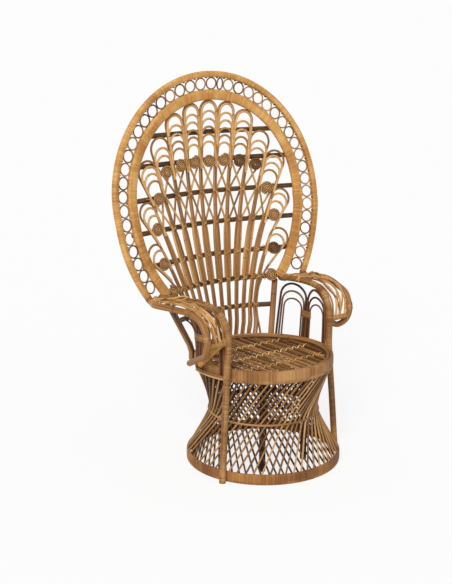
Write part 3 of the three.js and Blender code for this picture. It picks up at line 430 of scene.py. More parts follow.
class Canes:
    """Canes gathered into one piece, each a run of rings with a map of its own."""

    def __init__(self):
        self.corners, self.faces, self.map = [], [], []
        self.laid = 0

    def lay(self, points, wide, deep=None, facing=None, sides=8, closed=False, square=1.0,
            swell=None, along=None, period=None, rounded=False):
        """Adds one cane; facing turns its depth, and swell and along are given ring by ring."""
        deep = deep or wide
        points = list(points)
        scale = [1.0] * len(points)
        if rounded:
            near = (points[0] - points[1]).normalized() * deep * ROUND_REACH
            far = (points[-1] - points[-2]).normalized() * deep * ROUND_REACH
            points = [points[0] + near, *points, points[-1] + far]
            scale = [ROUND_SIZE, *scale, ROUND_SIZE]
        count = len(points)
        self.laid += 1
        if along is None:
            total = lengths_along(points)
            along = [CANE_STEP * self.laid + length for length in total]
            period = total[-1] + (points[0] - points[-1]).length
        section = []
        for side in range(sides):
            turn = 2 * math.pi * (side + 0.5) / sides
            c, s = math.cos(turn), math.sin(turn)
            section.append((math.copysign(abs(c) ** square, c), math.copysign(abs(s) ** square, s)))
        start = len(self.corners)
        kept = None
        for place, point in enumerate(points):
            before = points[place - 1] if closed or place else point
            after = points[(place + 1) % count] if closed or place < count - 1 else point
            tangent = ((point - before).normalized() + (after - point).normalized()).normalized()
            wanted = facing(point) if callable(facing) else facing or kept
            if wanted is None:
                wanted = UP if abs(tangent.z) < 0.8 else Vector((0, -1, 0))
            normal = (wanted - tangent * wanted.dot(tangent)).normalized()
            kept = normal
            binormal = tangent.cross(normal)
            extra = swell[place] if swell else 0.0
            half_deep = deep / 2 * scale[place] + extra
            half_wide = wide / 2 * scale[place] + extra
            for c, s in section:
                self.corners.append(point + normal * (c * half_deep) + binormal * (s * half_wide))
        girth = math.pi * (wide + deep) / 2
        for place in range(count if closed else count - 1):
            following = (place + 1) % count
            low = along[place]
            high = along[following] if following else along[0] + period
            for side in range(sides):
                turned = (side + 1) % sides
                self.faces.append((
                    start + place * sides + side,
                    start + place * sides + turned,
                    start + following * sides + turned,
                    start + following * sides + side,
                ))
                left, right = girth * side / sides, girth * (side + 1) / sides
                self.map += [left, low, right, low, right, high, left, high]
        if not closed:
            first = [start + side for side in reversed(range(sides))]
            last = [start + (count - 1) * sides + side for side in range(sides)]
            for cap, level in ((first, along[0]), (last, along[-1])):
                self.faces.append(tuple(cap))
                self.map += [0.0, level] * sides

    def wrap(self, points, wide, deep=None, strip=0.0046, closed=False, **how):
        """A pole covered with split strips laid side by side, each with a low groove before it."""
        run = [*points, points[0]] if closed else list(points)
        length = lengths_along(run)[-1]
        count = max(1, round(length / strip))
        rings = [(number + share, drop) for number in range(count) for share, drop in STRIP_PROFILE]
        if not closed:
            rings.append((count, STRIP_PROFILE[0][1]))
        offset = STRIP_OFFSET * self.laid
        stations = pick(run, [place * length / count for place, _ in rings])
        self.lay(stations, wide, deep, closed=closed, period=count,
                 swell=[-drop for _, drop in rings],
                 along=[offset + place for place, _ in rings], **how)

    def piece(self, name, finish, slot, *nodes):
        """Puts the canes into the scene as one piece that stands for the given solids."""
        mesh = bpy.data.meshes.new(name)
        mesh.from_pydata([(c.x, c.y + MID_Y, max(0.0, c.z)) for c in self.corners], [], self.faces)
        mesh.uv_layers.new(name="along").data.foreach_set("uv", self.map)
        piece = bpy.data.objects.new(name, mesh)
        bpy.context.collection.objects.link(piece)
        print(name, "canes", self.laid, "faces", len(self.faces))
        return settle(piece, name, finish, slot, *nodes)


def settle(piece, name, finish, slot, *nodes):
    """Names a finished piece, smooths and paints it, and lets it stand for the given solids."""
    piece.name = piece.data.name = name
    bpy.ops.object.select_all(action="DESELECT")
    piece.select_set(True)
    bpy.context.view_layer.objects.active = piece
    bpy.ops.object.shade_smooth_by_angle(angle=SMOOTH_ANGLE)
    piece.data.materials.clear()
    piece.data.materials.append(finish)
    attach(piece, "root")
    if nodes:
        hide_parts(*nodes)
    return piece


# %% [markdown]
# A straight stick needs no run of points. It is a cylinder set between two places, with its two end
# edges eased by a bevel, as a saw cut is eased with sandpaper. It gets the same kind of map.


# %% Straight sticks
def stick(start, end, wide, sides=10, ease=0.0012, number=1):
    way = end - start
    middle = (start + end) / 2 + Vector((0, MID_Y, 0))
    bpy.ops.object.select_all(action="DESELECT")
    bpy.ops.mesh.primitive_cylinder_add(
        vertices=sides, radius=wide / 2, depth=way.length,
        location=middle, rotation=way.to_track_quat("Z", "Y").to_euler(),
    )
    piece = bpy.context.object
    bpy.ops.object.mode_set(mode="EDIT")
    bpy.ops.mesh.select_mode(type="FACE")
    bpy.ops.mesh.select_all(action="DESELECT")
    bpy.ops.object.mode_set(mode="OBJECT")
    for face in piece.data.polygons:
        face.select = len(face.vertices) == sides
    bpy.ops.object.mode_set(mode="EDIT")
    bpy.ops.mesh.bevel(offset=ease, segments=1)
    bpy.ops.object.mode_set(mode="OBJECT")
    corners = piece.data.vertices
    along = piece.data.uv_layers[0]
    along.name = "along"
    for face in piece.data.polygons:
        first = None
        for loop, corner in zip(face.loop_indices, face.vertices):
            spot = corners[corner].co
            turn = math.atan2(spot.y, spot.x)
            first = turn if first is None else first
            turn += 2 * math.pi * round((first - turn) / (2 * math.pi))
            along.data[loop].uv = (turn * wide / 2, CANE_STEP * number + spot.z)
    bpy.ops.object.transform_apply(location=True, rotation=True, scale=True)
    return piece


def joined(sticks):
    bpy.ops.object.select_all(action="DESELECT")
    for piece in sticks:
        piece.select_set(True)
    bpy.context.view_layer.objects.active = sticks[0]
    bpy.ops.object.join()
    print("joined", len(sticks), "sticks")
    return sticks[0]


# %% [markdown]
# Two stout rings carry the drum: one lies on the floor and one is the apron of the seat. Each is a
# flat band wrapped upright with split strips. A lathe turn would give the band, but not the
# strips, so the wrapping is laid round a circle, strip by strip.

# %% Base ring and apron ring
BASE_RADIUS, BASE_BAND, BASE_WALL = 0.293, 0.040, 0.012
SEAT_RADIUS, SEAT_HEIGHT, APRON_BAND, APRON_WALL = 0.262, 0.416, 0.047, 0.014


def circle(radius, height, steps):
    return [ring_point(radius, 360 * step / steps, height) for step in range(steps)]


def wrapped_ring(name, node, finish, radius, wall, band, top):
    ring = Canes()
    ring.wrap(circle(radius - wall / 2, top - band / 2, 360), band, wall, closed=True,
              facing=outward, sides=16, square=0.5)
    return ring.piece(name, finish, "pole_rattan", node)


wrapped_ring("base_ring_wrapped", "base_ring", FOOT, BASE_RADIUS, BASE_WALL, BASE_BAND, BASE_BAND)
wrapped_ring("apron_ring_wrapped", "seat_apron_ring", BAND,
             SEAT_RADIUS, APRON_WALL, APRON_BAND, SEAT_HEIGHT)

# %% [markdown]
# The drum's wall is two layers of straight canes that lean opposite ways and are drawn in at the
# waist by a hoop. The inner layer is painted darker than the outer one, as painted shade for the
# dim inside of the drum. Each cane bends a little where it passes the hoop, so it gets a few more
# stations there.

# %% Slanted stakes of the drum
STAKES, STAKE, STAKE_LAP = 60, 0.0072, 0.004
WAIST_RADIUS, WAIST_HEIGHT = 0.202, 0.197
LOWER_TURN, UPPER_TURN = 22, 31
OUTER_RADII = (BASE_RADIUS - BASE_WALL / 2, WAIST_RADIUS, SEAT_RADIUS - APRON_WALL / 2)
INNER_RADII = (0.2757, 0.1944, 0.2427)
OUTER_FOOT, INNER_FOOT = BASE_BAND - STAKE_LAP, 0.007
STAKE_HEAD = SEAT_HEIGHT - APRON_BAND + STAKE_LAP
OUTER_HOOP, INNER_HOOP, WAIST_CANE = 0.2082, 0.1884, 0.0080
chance = random.Random(7)


def stake_layer(name, node, finish, slot, radii, foot_height, lean, hoop_radius):
    layer = Canes()
    for number in range(STAKES):
        turn = 360 * number / STAKES + chance.uniform(-0.5, 0.5)
        foot = ring_point(radii[0], turn - lean * LOWER_TURN, foot_height)
        waist = ring_point(radii[1], turn, WAIST_HEIGHT)
        head = ring_point(radii[2], turn + lean * UPPER_TURN, STAKE_HEAD)
        run = [foot, foot.lerp(waist, 0.5), waist.lerp(foot, 0.08)]
        run += [waist.lerp(head, 0.08), waist.lerp(head, 0.55), head]
        size = STAKE * chance.uniform(0.9, 1.08)
        layer.lay(bent(run, 0.05), size, facing=outward, sides=7)
    layer.lay(circle(hoop_radius, WAIST_HEIGHT, 72), WAIST_CANE, closed=True, facing=outward)
    return layer.piece(name, finish, slot, node)


stake_layer("outer_stakes_cane", "outer_stakes", STAKE_CANE, "cane_rattan",
            OUTER_RADII, OUTER_FOOT, 1, OUTER_HOOP)
stake_layer("inner_stakes_cane", "inner_stakes", SHADED, "brown_rattan",
            INNER_RADII, INNER_FOOT, -1, INNER_HOOP)

# %% [markdown]
# Four dark posts stand inside the drum and carry the seat. Each is one stick, as long as its solid.


# %% Inner posts
def inner_post(node):
    low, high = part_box(node)
    middle = (low + high) / 2
    foot = Vector((middle.x, middle.y - MID_Y, low.z))
    head = Vector((middle.x, middle.y - MID_Y, high.z))
    post = stick(foot, head, high.x - low.x, 16)
    return settle(post, node + "_pole", DARK, "dark_rattan", node)


for end in ("front", "back"):
    for side in ("left", "right"):
        print(inner_post(f"inner_post_{end}_{side}").name)

# %% [markdown]
# The seat is a row of brown canes from front to back, laid in pairs on three bearers inside a hoop.
# Each is a straight stick, and a small chance in its place and size keeps the row from looking
# machine-made.

# %% Seat
SLATS, SLAT_WIDTH, SLAT_THICK = 15, 0.016, 0.010
SLAT_TOP = SEAT_HEIGHT - 0.010
SEAT_INSIDE = SEAT_RADIUS - APRON_WALL
HOOP_MIDDLE, HOOP_HEIGHT, HOOP_CANE = SEAT_INSIDE - 0.0063, SEAT_HEIGHT - 0.008, 0.0122
SLAT_REACH = HOOP_MIDDLE - 0.0064
SLAT_PITCH = 2 * (SLAT_REACH - SLAT_WIDTH) / SLATS
BEARER, BEARER_SPREAD = 0.014, 0.120
BEARER_MIDDLE = SLAT_TOP - SLAT_THICK + 0.001 - BEARER / 2
BEARER_ROWS = (-BEARER_SPREAD, 0.0, BEARER_SPREAD)


def half_chord(radius, offset):
    return math.sqrt(max(0.0, radius * radius - offset * offset))


hoop = Canes()
hoop.lay(circle(HOOP_MIDDLE, HOOP_HEIGHT, 96), HOOP_CANE, closed=True, facing=outward, sides=10)
hoop.piece("seat_hoop_cane", CANE, "cane_rattan", "seat_hoop")
deck, slat_places = [], []
for number in range(SLATS):
    x = (number - (SLATS - 1) / 2) * SLAT_PITCH
    reach = half_chord(SLAT_REACH, abs(x) + SLAT_WIDTH / 2)
    slat_places.append((x, reach))
    for half in (-1, 1):
        drift = chance.uniform(-0.001, 0.001)
        height = SLAT_TOP - SLAT_THICK / 2 + chance.uniform(-0.0006, 0.0003)
        size = SLAT_THICK * chance.uniform(0.82, 0.94)
        middle = x + half * SLAT_WIDTH * 0.27
        start = Vector((middle - drift, -reach, height))
        end = Vector((middle + drift, reach, height))
        deck.append(stick(start, end, size, 8, number=len(deck)))
for y in BEARER_ROWS:
    reach = half_chord(SEAT_INSIDE - 0.001, abs(y) + BEARER / 2)
    start, end = Vector((-reach, y, BEARER_MIDDLE)), Vector((reach, y, BEARER_MIDDLE))
    deck.append(stick(start, end, BEARER, number=len(deck)))
settle(joined(deck), "seat_slats_cane", SEAT, "brown_rattan", "seat_slats")

# %% [markdown]
# A pale split strip lashes each row of canes to the bearer under it. It slants over one pair after
# another and dips between them, so its run repeats the same four points from pair to pair.

# %% Seat lashing
LASH_PATH = ((-0.0135, -1.2, -0.0062), (-0.0085, -0.8, 0.0011),
             (0, 0, 0.0017), (0.0085, 0.8, 0.0011))
LASH_WIDE, LASH_THICK, LASH_MARGIN = 0.0042, 0.0022, 0.02
lashing = Canes()
for y in BEARER_ROWS:
    run = []
    for x, reach in slat_places:
        if abs(y) > reach - LASH_MARGIN:
            continue
        sway = chance.uniform(0.0035, 0.0065)
        for across, slant, rise in LASH_PATH:
            run.append(Vector((x + across, y + slant * sway, SLAT_TOP + rise)))
    lashing.lay(bent(run, 0.0035), LASH_WIDE, LASH_THICK, facing=UP, sides=6)
lashing.piece("seat_lashing", LASH, "cane_rattan")

# %% [markdown]
# The fan is drawn flat, as an oval with stems and arches in it, and every point is then moved back
# onto one dished surface. The surface bulges away from the sitter at shoulder height, is cupped
# from side to side, and wraps round the seat ring at its foot. These are the same few formulas as
# the solids have, so everything on the fan lies where its solid lies.

# %% The dished surface
CHAIR_HEIGHT, FAN_HALF_WIDTH, FAN_WIDEST, FAN_DROP = 1.440, 0.481, 0.965, 0.560
BELLY_HEIGHT, BELLY_SET_BACK, BELLY_EASE = 1.050, 0.087, 1.2
CREST_RETURN, CREST_RUN = 0.003, 0.330
CUP, CUP_EASE, CUP_FULL, CUP_AT_CREST, CUP_FADE = 0.794, 4.77, 0.900, 0.19, 0.1
FOOT_RADIUS = 0.26555
RAIL_HEIGHTS = (0.522, 0.630, 0.737, 0.860, 0.980, 1.102, 1.210)


def halved(low, high, beyond):
    """The place between low and high past which a test holds, found by halving."""
    for _ in range(40):
        middle = (low + high) / 2
        low, high = (low, middle) if beyond(middle) else (middle, high)
    return low


def fan_back(x, z):
    """How far back the fan lies at a place of the flat drawing."""
    if z < BELLY_HEIGHT:
        share = part_of(z, SEAT_HEIGHT, BELLY_HEIGHT)
        middle = FOOT_RADIUS + BELLY_SET_BACK * math.sin(math.pi / 2 * share ** BELLY_EASE)
    else:
        share = part_of(z, BELLY_HEIGHT, BELLY_HEIGHT + CREST_RUN)
        middle = FOOT_RADIUS + BELLY_SET_BACK - CREST_RETURN * (1 - math.cos(math.pi * share)) / 2
    fade = math.exp(-max(0.0, z - SEAT_HEIGHT) / CUP_FADE)
    cup = CUP * (1 + (CUP_AT_CREST - 1) * part_of(z, CUP_FULL, CHAIR_HEIGHT)) * (1 + 2 * fade)
    dished = middle - cup * x * x / (1 + CUP_EASE * x * x)
    share = part_of(z, SEAT_HEIGHT, RAIL_HEIGHTS[0])
    share = share * share * (3 - 2 * share)
    around = half_chord(FOOT_RADIUS, min(abs(x), 0.95 * FOOT_RADIUS))
    return around + (dished - around) * share


def fan_front(x, z, step=0.0005):
    """The way the fan's surface faces, towards the sitter."""
    across = (fan_back(x + step, z) - fan_back(x - step, z)) / (2 * step)
    upward = (fan_back(x, z + step) - fan_back(x, z - step)) / (2 * step)
    return Vector((across, -1, upward)).normalized()


def on_fan(x, z, forward=0.0):
    return Vector((x, fan_back(x, z), z)) + fan_front(x, z) * forward


def fan_facing(point):
    return fan_front(point.x, point.z)


def rim(turn, inset):
    """A point of the fan's oval outline, set in along the outline's own normal."""
    c, s = math.cos(math.radians(turn)), math.sin(math.radians(turn))
    rise = FAN_DROP if s < 0 else CHAIR_HEIGHT - FAN_WIDEST
    length = math.hypot(c / FAN_HALF_WIDTH, s / rise)
    return (
        FAN_HALF_WIDTH * c - inset * c / FAN_HALF_WIDTH / length,
        FAN_WIDEST + rise * s - inset * s / rise / length,
    )


def turn_at(height, inset):
    """The turn at which the right side of the oval reaches a height."""
    return halved(-85.0, 0.0, lambda turn: rim(turn, inset)[1] > height)


print("fan bulges back to", round(fan_back(0, BELLY_HEIGHT) + MID_Y, 3), "m behind the middle")

# %% [markdown]
# Two rims edge the fan: a narrow outer one and a broad flat inner one. Both are bundles of poles
# wrapped all along with split strips.

# %% Outer and inner rim
OUTER_RIM, INNER_RIM, RIM_DEPTH, RING_GAP = 0.022, 0.036, 0.020, 0.048
RIM_FORWARD = 0.00675
RING_INSET = OUTER_RIM + RING_GAP / 2
INNER_INSET = OUTER_RIM + RING_GAP + INNER_RIM / 2
EDGE_INSET = OUTER_RIM + RING_GAP + INNER_RIM
OUTER_END, INNER_END = 0.634, 0.624
BOUND_STATIONS = ((46, 51), (276, 283))
OUTER_SECTION, INNER_SECTION = (0.0232, 0.0236, 0.6), (0.0395, RIM_DEPTH, 0.55)
BOUND_SECTION = (0.0412, RIM_DEPTH * 1.12, 0.55)


def rim_run(foot, inset):
    end = turn_at(foot, inset)
    return [on_fan(*rim(turn, inset), RIM_FORWARD) for turn in spaced(end, 180 - end, 300)]


def wrapped_rim(name, slot, runs, section, *node):
    wide, deep, square = section
    band = Canes()
    for run in runs:
        band.wrap(run, wide, deep, facing=fan_facing, sides=16, square=square)
    return band.piece(name, WRAP, slot, *node)


outer_line = rim_run(OUTER_END, OUTER_RIM / 2)
inner_line = rim_run(INNER_END, INNER_INSET)
bound = [inner_line[first:last] for first, last in BOUND_STATIONS]
wrapped_rim("outer_rim_wrapped", "pole_rattan", [outer_line], OUTER_SECTION, "outer_rim")
wrapped_rim("inner_rim_wrapped", "pole_rattan", [inner_line], INNER_SECTION, "inner_rim")
wrapped_rim("inner_rim_bindings", "cane_rattan", bound, BOUND_SECTION)

# %% [markdown]
# A row of cane rings fills the gap between the rims. Each is a short thin cane bent round on
# itself and nailed to its neighbours and to the outer rim. One ring near the crown is narrower,
# where the row was closed.

# %% Row of rings
RINGS, NARROW, NARROW_SHARE, LAST_RING = 41, 19, 0.62, 0.668
RING_CANE, RING_STEPS = 0.0060, 28


def ring_places():
    """Turn and width of each ring along the middle of the gap, and the turns where two meet."""
    first = turn_at(LAST_RING, RING_INSET)
    turns = spaced(first, 180 - first, 2000)
    total = lengths_along([Vector((*rim(turn, RING_INSET), 0)) for turn in turns])
    widths = [NARROW_SHARE if number == NARROW else 1.0 for number in range(RINGS)]
    pitch = total[-1] / (sum(widths) - 1)

    def turn_of(mark):
        return min(zip(total, turns), key=lambda pair: abs(pair[0] - mark))[1]

    found, meeting = [], []
    reached = -0.5 * pitch
    for width in widths:
        found.append((turn_of(reached + width * pitch / 2), width * pitch))
        reached += width * pitch
        meeting.append(turn_of(reached))
    return found, meeting[:-1]


rings = Canes()
places, seams = ring_places()
for turn, width in places:
    x, z = rim(turn, RING_INSET)
    x1, z1 = rim(turn, RING_INSET - 0.001)
    up = Vector((x1 - x, z1 - z)).normalized()
    half_long = width / 2 - RING_CANE * 0.42
    half_tall = RING_GAP / 2 - RING_CANE * 0.4
    lap = chance.uniform(0, 360)
    loop = []
    for step in range(RING_STEPS):
        angle = math.radians(lap + 360 * step / RING_STEPS)
        s, t = half_long * math.sin(angle), half_tall * math.cos(angle)
        loop.append(on_fan(x + up.y * s + up.x * t, z - up.x * s + up.y * t, RIM_FORWARD))
    rings.lay(loop, RING_CANE, facing=fan_facing, sides=7, closed=True)
rings.piece("ring_row_cane", LOOP, "cane_rattan", "ring_row")

# %% [markdown]
# A dark nail holds each pair of neighbouring rings to the inner edge of the outer rim. It is a very
# short stick whose head shows beside the wrapping.

# %% Nails
NAIL_WIDE, NAIL_EASE, NAIL_INSET = 0.0042, 0.0007, OUTER_RIM + 0.0022
NAIL_TIP, NAIL_HEAD = RIM_FORWARD - 0.004, RIM_FORWARD + 0.0075
nails = []
for turn in seams:
    tip, head = [on_fan(*rim(turn, NAIL_INSET), forward) for forward in (NAIL_TIP, NAIL_HEAD)]
    nails.append(stick(tip, head, NAIL_WIDE, 8, NAIL_EASE, len(nails)))
settle(joined(nails), "ring_nails", NAIL, "dark_rattan")

# %% [markdown]
# Seven stems on each side fan out from the seat to the inner rim. A stem is only a line to draw by:
# a curve with one pull in its middle, and the canes of the fan run down both sides of it.

# %% Stems
STEM_COUNT, LEG_SHIFT = 7, 0.0041
FOOT_STEP, TOP_TURN, TOP_STEP = 2.85, 83.3, 12
STEM_PULL, PULL_EASE, STEM_APART = 0.120, 1.7, 0.010


def stem_x(number, z):
    foot = FOOT_RADIUS * math.sin(math.radians((2 * number + 1) * FOOT_STEP))
    top_x, top_z = rim(TOP_TURN - TOP_STEP * number - number * number, EDGE_INSET)
    middle = (foot + top_x) / 2 - STEM_PULL * (number / (STEM_COUNT - 1)) ** PULL_EASE
    t = max(0.0, (z - SEAT_HEIGHT) / (top_z - SEAT_HEIGHT))
    own = (1 - t) ** 2 * foot + 2 * t * (1 - t) * middle + t * t * top_x
    return max(own, stem_x(number - 1, z) + STEM_APART) if number else own


def stem_slope(number, z, step=0.001):
    return (stem_x(number, z + step) - stem_x(number, z)) / step


def leg_x(number, side, z, shift=LEG_SHIFT):
    """The x of a cane that runs beside a stem; number -1 is the first stem of the other half."""
    if number < 0:
        return -leg_x(0, -side, z, shift)
    return stem_x(number, z) + side * shift * math.hypot(1, stem_slope(number, z))


def beside(number, side, z, shift=LEG_SHIFT):
    return Vector((leg_x(number, side, z, shift), z))


feet = [round(stem_x(number, SEAT_HEIGHT), 3) for number in range(STEM_COUNT)]
print("stems at seat height:", feet)

# %% [markdown]
# A lobe is the space between two stems. It has an eye, where its coil sits, and an axis up the fan.
# Arches spring across it square to that axis, and the highest one is found by raising it until it
# would touch the inner rim.

# %% Lobes between the stems
EYE_HEIGHTS = (1.101, 1.099, 1.091, 1.073, 0.977, 0.869, 0.737)
CROWN_REACH = (0.232, 0.232, 0.232, 0.136, 0.157, 0.114, 0.093)
CROWN_START, CROWN_STEP, CROWN_CLEAR = 0.05, 0.001, 0.0038
edge_line = [Vector(rim(turn, EDGE_INSET)) for turn in range(-50, 231)]


class Lobe:
    """The space between two stems: its eye, where the coil sits, and its axis up the fan."""

    def __init__(self, number):
        self.number = number
        self.stems = ((number - 1, 1), (number, -1))
        z = EYE_HEIGHTS[number]
        left_slope = stem_slope(number - 1, z) if number else -stem_slope(0, z)
        self.axis = Vector(((left_slope + stem_slope(number, z)) / 2, 1)).normalized()
        self.eye = Vector((sum(leg_x(*stem, z) for stem in self.stems) / 2, z))
        near, far = self.across(0)
        self.eye = (near + far) / 2

    def across(self, reach, shift=LEG_SHIFT):
        """The two points of the stems that lie square across the lobe, above the eye."""
        centre = self.eye + self.axis * reach
        pair = []
        for stem in self.stems:
            z = halved(SEAT_HEIGHT, CHAIR_HEIGHT,
                       lambda z: (beside(*stem, z, shift) - centre).dot(self.axis) > 0)
            pair.append(beside(*stem, z, shift))
        return pair

    def arch(self, reach, shift=LEG_SHIFT):
        """An arch with its apex that far above the eye, as flat points from left to right."""
        left, right = self.across(reach, shift)
        left, right = self.across(reach - (right - left).length / 2, shift)
        middle, half = (left + right) / 2, (right - left) / 2
        up = Vector((-half.y, half.x))
        turns = spaced(0, math.pi, 14)
        return [middle - half * math.cos(turn) + up * math.sin(turn) for turn in turns]

    def crown(self, shift):
        """The highest arch, stopped where it would touch the inner rim."""
        reach = CROWN_START
        best = self.arch(reach, shift)
        while reach < CROWN_REACH[self.number]:
            reach += CROWN_STEP
            trial = self.arch(reach, shift)
            nearest = min((point - edge).length for point in trial[3:-3] for edge in edge_line)
            if nearest < CROWN_CLEAR:
                break
            best, self.reach = trial, reach
        return best


lobes = [Lobe(number) for number in range(STEM_COUNT)]
print("eyes at", [(round(lobe.eye.x, 3), round(lobe.eye.y, 3)) for lobe in lobes])

# %% [markdown]
# The feathers of the fan are long thin canes that run up from the seat, bend over in an arch under
# the inner rim and come down the next stem. Shorter canes nest inside as smaller arches, with
# their legs drawn together onto the stem below, so each stem thickens towards its foot.

# %% Feathers
ARCH_TOPS = (
    (1.292, 1.262, 1.232, 1.203, 1.175),
    (1.281, 1.252, 1.222, 1.195, 1.167),
    (1.246, 1.213, 1.185, 1.158),
    (1.166, 1.137),
    (1.102, 1.075, 1.047),
    (0.950, 0.920),
    (0.788,),
)
ARCH_FLARE, FLARE_RUN = (0, 0, 0, 0.002, 0.004, 0.007, 0.010), 0.07
FOOT_LAP, LONG_CANE, BOW = 0.041, 0.0088, 0.0089
BOW_TUCK, BOW_DRAW, BOW_DROP, BOW_LIFT = 0.0026, 0.0048, 0.066, 0.0042
BOW_ENDS = [0.0070, 0.0068, 0.0064, 0.0058, 0.0050]
RIM_LOBES, RIM_BOW_DROP, RIM_BOW_TUCK = 3, 0.0064, 0.0055
BOTH_SIDES = ((1, "right"), (-1, "left"))


def mirror(points, side):
    return points if side > 0 else [Vector((-point.x, point.y)) for point in reversed(points)]


def leg_down(stem, top, flare):
    """A leg of the long cane, flared at its top and drawn in beside its stem below."""
    run = []
    for z in spaced(top, SEAT_HEIGHT - FOOT_LAP, 26):
        spread = flare * math.exp(-(((top - z) / FLARE_RUN) ** 2))
        run.append(beside(*stem, z, LEG_SHIFT - spread))
    return run


def feather(lobe, side, node):
    """The long cane of one lobe and the arches nested in it."""
    canes = Canes()
    first, second = lobe.stems
    flare = ARCH_FLARE[lobe.number]
    crown = lobe.crown(LEG_SHIFT - flare)
    lobe.feet = (crown[0].y, crown[-1].y)
    up, down = [leg_down(stem, top, flare) for stem, top in zip(lobe.stems, lobe.feet)]
    long_cane = mirror([*reversed(up), *crown[1:-1], *down], side)
    canes.lay([on_fan(point.x, point.y) for point in long_cane], LONG_CANE, facing=fan_facing)
    reaches = [(top - lobe.eye.y) / lobe.axis.y for top in ARCH_TOPS[lobe.number]]
    bows = [lobe.arch(reach, LEG_SHIFT + BOW_TUCK - flare) for reach in reaches]
    if lobe.number < RIM_LOBES:
        bows.append(lobe.arch(lobe.reach - RIM_BOW_DROP, LEG_SHIFT + RIM_BOW_TUCK))
    for bow in bows:
        left, right = [], []
        for share in (0.2, 0.4, 0.6, 0.8, 1.0):
            drop = BOW_DROP * share
            shift = LEG_SHIFT + BOW_TUCK - BOW_DRAW * share - flare * (1 - share)
            left.insert(0, beside(*first, bow[0].y - drop, shift))
            right.append(beside(*second, bow[-1].y - drop, shift))
        run = mirror([*left, *bow, *right], side)
        lifts = BOW_ENDS + [BOW_LIFT] * len(bow) + BOW_ENDS[::-1]
        points = [on_fan(point.x, point.y, lift) for point, lift in zip(run, lifts)]
        canes.lay(points, BOW, facing=fan_facing, rounded=True)
    return canes.piece(node + "_cane", CANE, "pole_rattan", node)


feather(lobes[0], 1, "feather_middle")
for lobe in lobes[1:]:
    for side, word in BOTH_SIDES:
        feather(lobe, side, f"feather_{word}_{lobe.number}")

# %% [markdown]
# A flat coil sits in the eye of each lobe: one thin cane wound out from the middle until it meets
# the stems. The turns press against each other, so each is a little less than one cane's width
# further out than the turn before.

# %% Coils
COIL_RADIUS, COIL_STRETCH, COIL_FORWARD = 0.0285, 1.1, 0.0085
COIL_EYE, COIL_PITCH, COIL_STEPS = 0.0012, COIL_CANE * 0.95, 20
LAST_COIL, LAST_COIL_TURN, COIL_TURN = COIL_RADIUS * 0.96, 2.0, 0.6
DARK_COILS = ("coil_right_2", "coil_right_3", "coil_right_6")


def coil(node, x, z, radius, start_turn):
    outside = radius - COIL_CANE / 2
    run = []
    for step in range(int((outside - COIL_EYE) / COIL_PITCH * COIL_STEPS), -1, -1):
        away = outside - COIL_PITCH * step / COIL_STEPS
        turn = start_turn - 2 * math.pi * step / COIL_STEPS
        across, upward = COIL_STRETCH * away * math.cos(turn), away * math.sin(turn)
        run.append(on_fan(x + across, z + upward, COIL_FORWARD))
    wound = Canes()
    wound.lay(run, COIL_CANE, COIL_DEEP, facing=fan_facing, sides=COIL_SIDES, rounded=True)
    finish = DARK_COIL if node in DARK_COILS else COIL
    return wound.piece(node + "_cane", finish, "cane_rattan", node)


coil("coil_middle", *lobes[0].eye, COIL_RADIUS, COIL_TURN)
for lobe in lobes[1:]:
    for side, word in BOTH_SIDES:
        node = f"coil_{word}_{lobe.number}"
        coil(node, side * lobe.eye.x, lobe.eye.y, COIL_RADIUS, COIL_TURN + lobe.number)
for node in ("coil_right_7", "coil_left_7"):
    middle = sum(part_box(node), Vector()) / 2
    coil(node, middle.x, middle.z, LAST_COIL, LAST_COIL_TURN)

# %% [markdown]
# Thin canes cross between the stems under the row of coils, in two tiers of crosses, and then run
# down beside the stems. They lie in front of and behind the stems, as a weaver would lay them.

# %% Crossed canes
CROSS_TIERS = ((1.092, 0.982, 3, 10, 0.0085), (0.978, 0.864, 2, 11, 0.0115))
CROSS_CANE, CROSS_FRONT, CROSS_BACK, CROSS_START = 0.0082, 0.0068, -0.0062, 0.004
CROSS_FOOT, CROSS_BESIDE, CROSS_SETTLE = 0.640, 0.0121, 0.3


def stem_number(place):
    """Stems counted from the left edge of the fan to the right one, as numbers of one half."""
    return STEM_COUNT - 1 - place if place < STEM_COUNT else place - STEM_COUNT


def stem_line(place, z):
    return stem_x(stem_number(place), z) * (-1 if place < STEM_COUNT else 1)


crossed = Canes()
for tier, (top, foot, first, last, short) in enumerate(CROSS_TIERS):
    for place in range(first, last + 1):
        for side in (-1, 1):
            aim = place + side
            if not first <= aim <= last:
                continue
            forward = CROSS_FRONT if side > 0 else CROSS_BACK
            start_x = stem_line(place, top) + side * CROSS_START
            end_x = stem_line(aim, foot) - side * short
            slope = zip(spaced(start_x, end_x, 8), spaced(top, foot, 8))
            run = [on_fan(x, z, forward) for x, z in slope]
            if tier:
                for step, z in enumerate(spaced(foot, CROSS_FOOT, 8)[1:], 1):
                    x = stem_line(aim, z) - side * CROSS_BESIDE
                    run.append(on_fan(x, z, forward * CROSS_SETTLE ** step))
            crossed.lay(even(run, 0.014), CROSS_CANE, facing=fan_facing, sides=7, rounded=True)
crossed.piece("crossed_canes", CANE, "cane_rattan")

# %% [markdown]
# Seven dark rails cross behind the stems and end behind the inner rim. Each is one round pole that
# follows the dish of the fan for the length of its solid.

# %% Rails
RAIL_WIDE, RAIL_BACK, LOWEST_TRIM = 0.0196, -0.0138, 0.012
for number, height in enumerate(RAIL_HEIGHTS, 1):
    node = f"rail_{number}"
    low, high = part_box(node)
    start = low.x + (LOWEST_TRIM if number == 1 else 0)
    run = [on_fan(x, height, RAIL_BACK) for x in spaced(start, high.x, 40)]
    pole = Canes()
    pole.lay(run, RAIL_WIDE, facing=fan_facing, sides=12, rounded=True)
    pole.piece(node + "_pole", RAIL, "dark_rattan", node)

# %% [markdown]
# Where a rail crosses a straight stem, a split strip ties the two in a cross, with its ends tucked
# in beside the rail. The rail behind the row of coils has no ties that show.

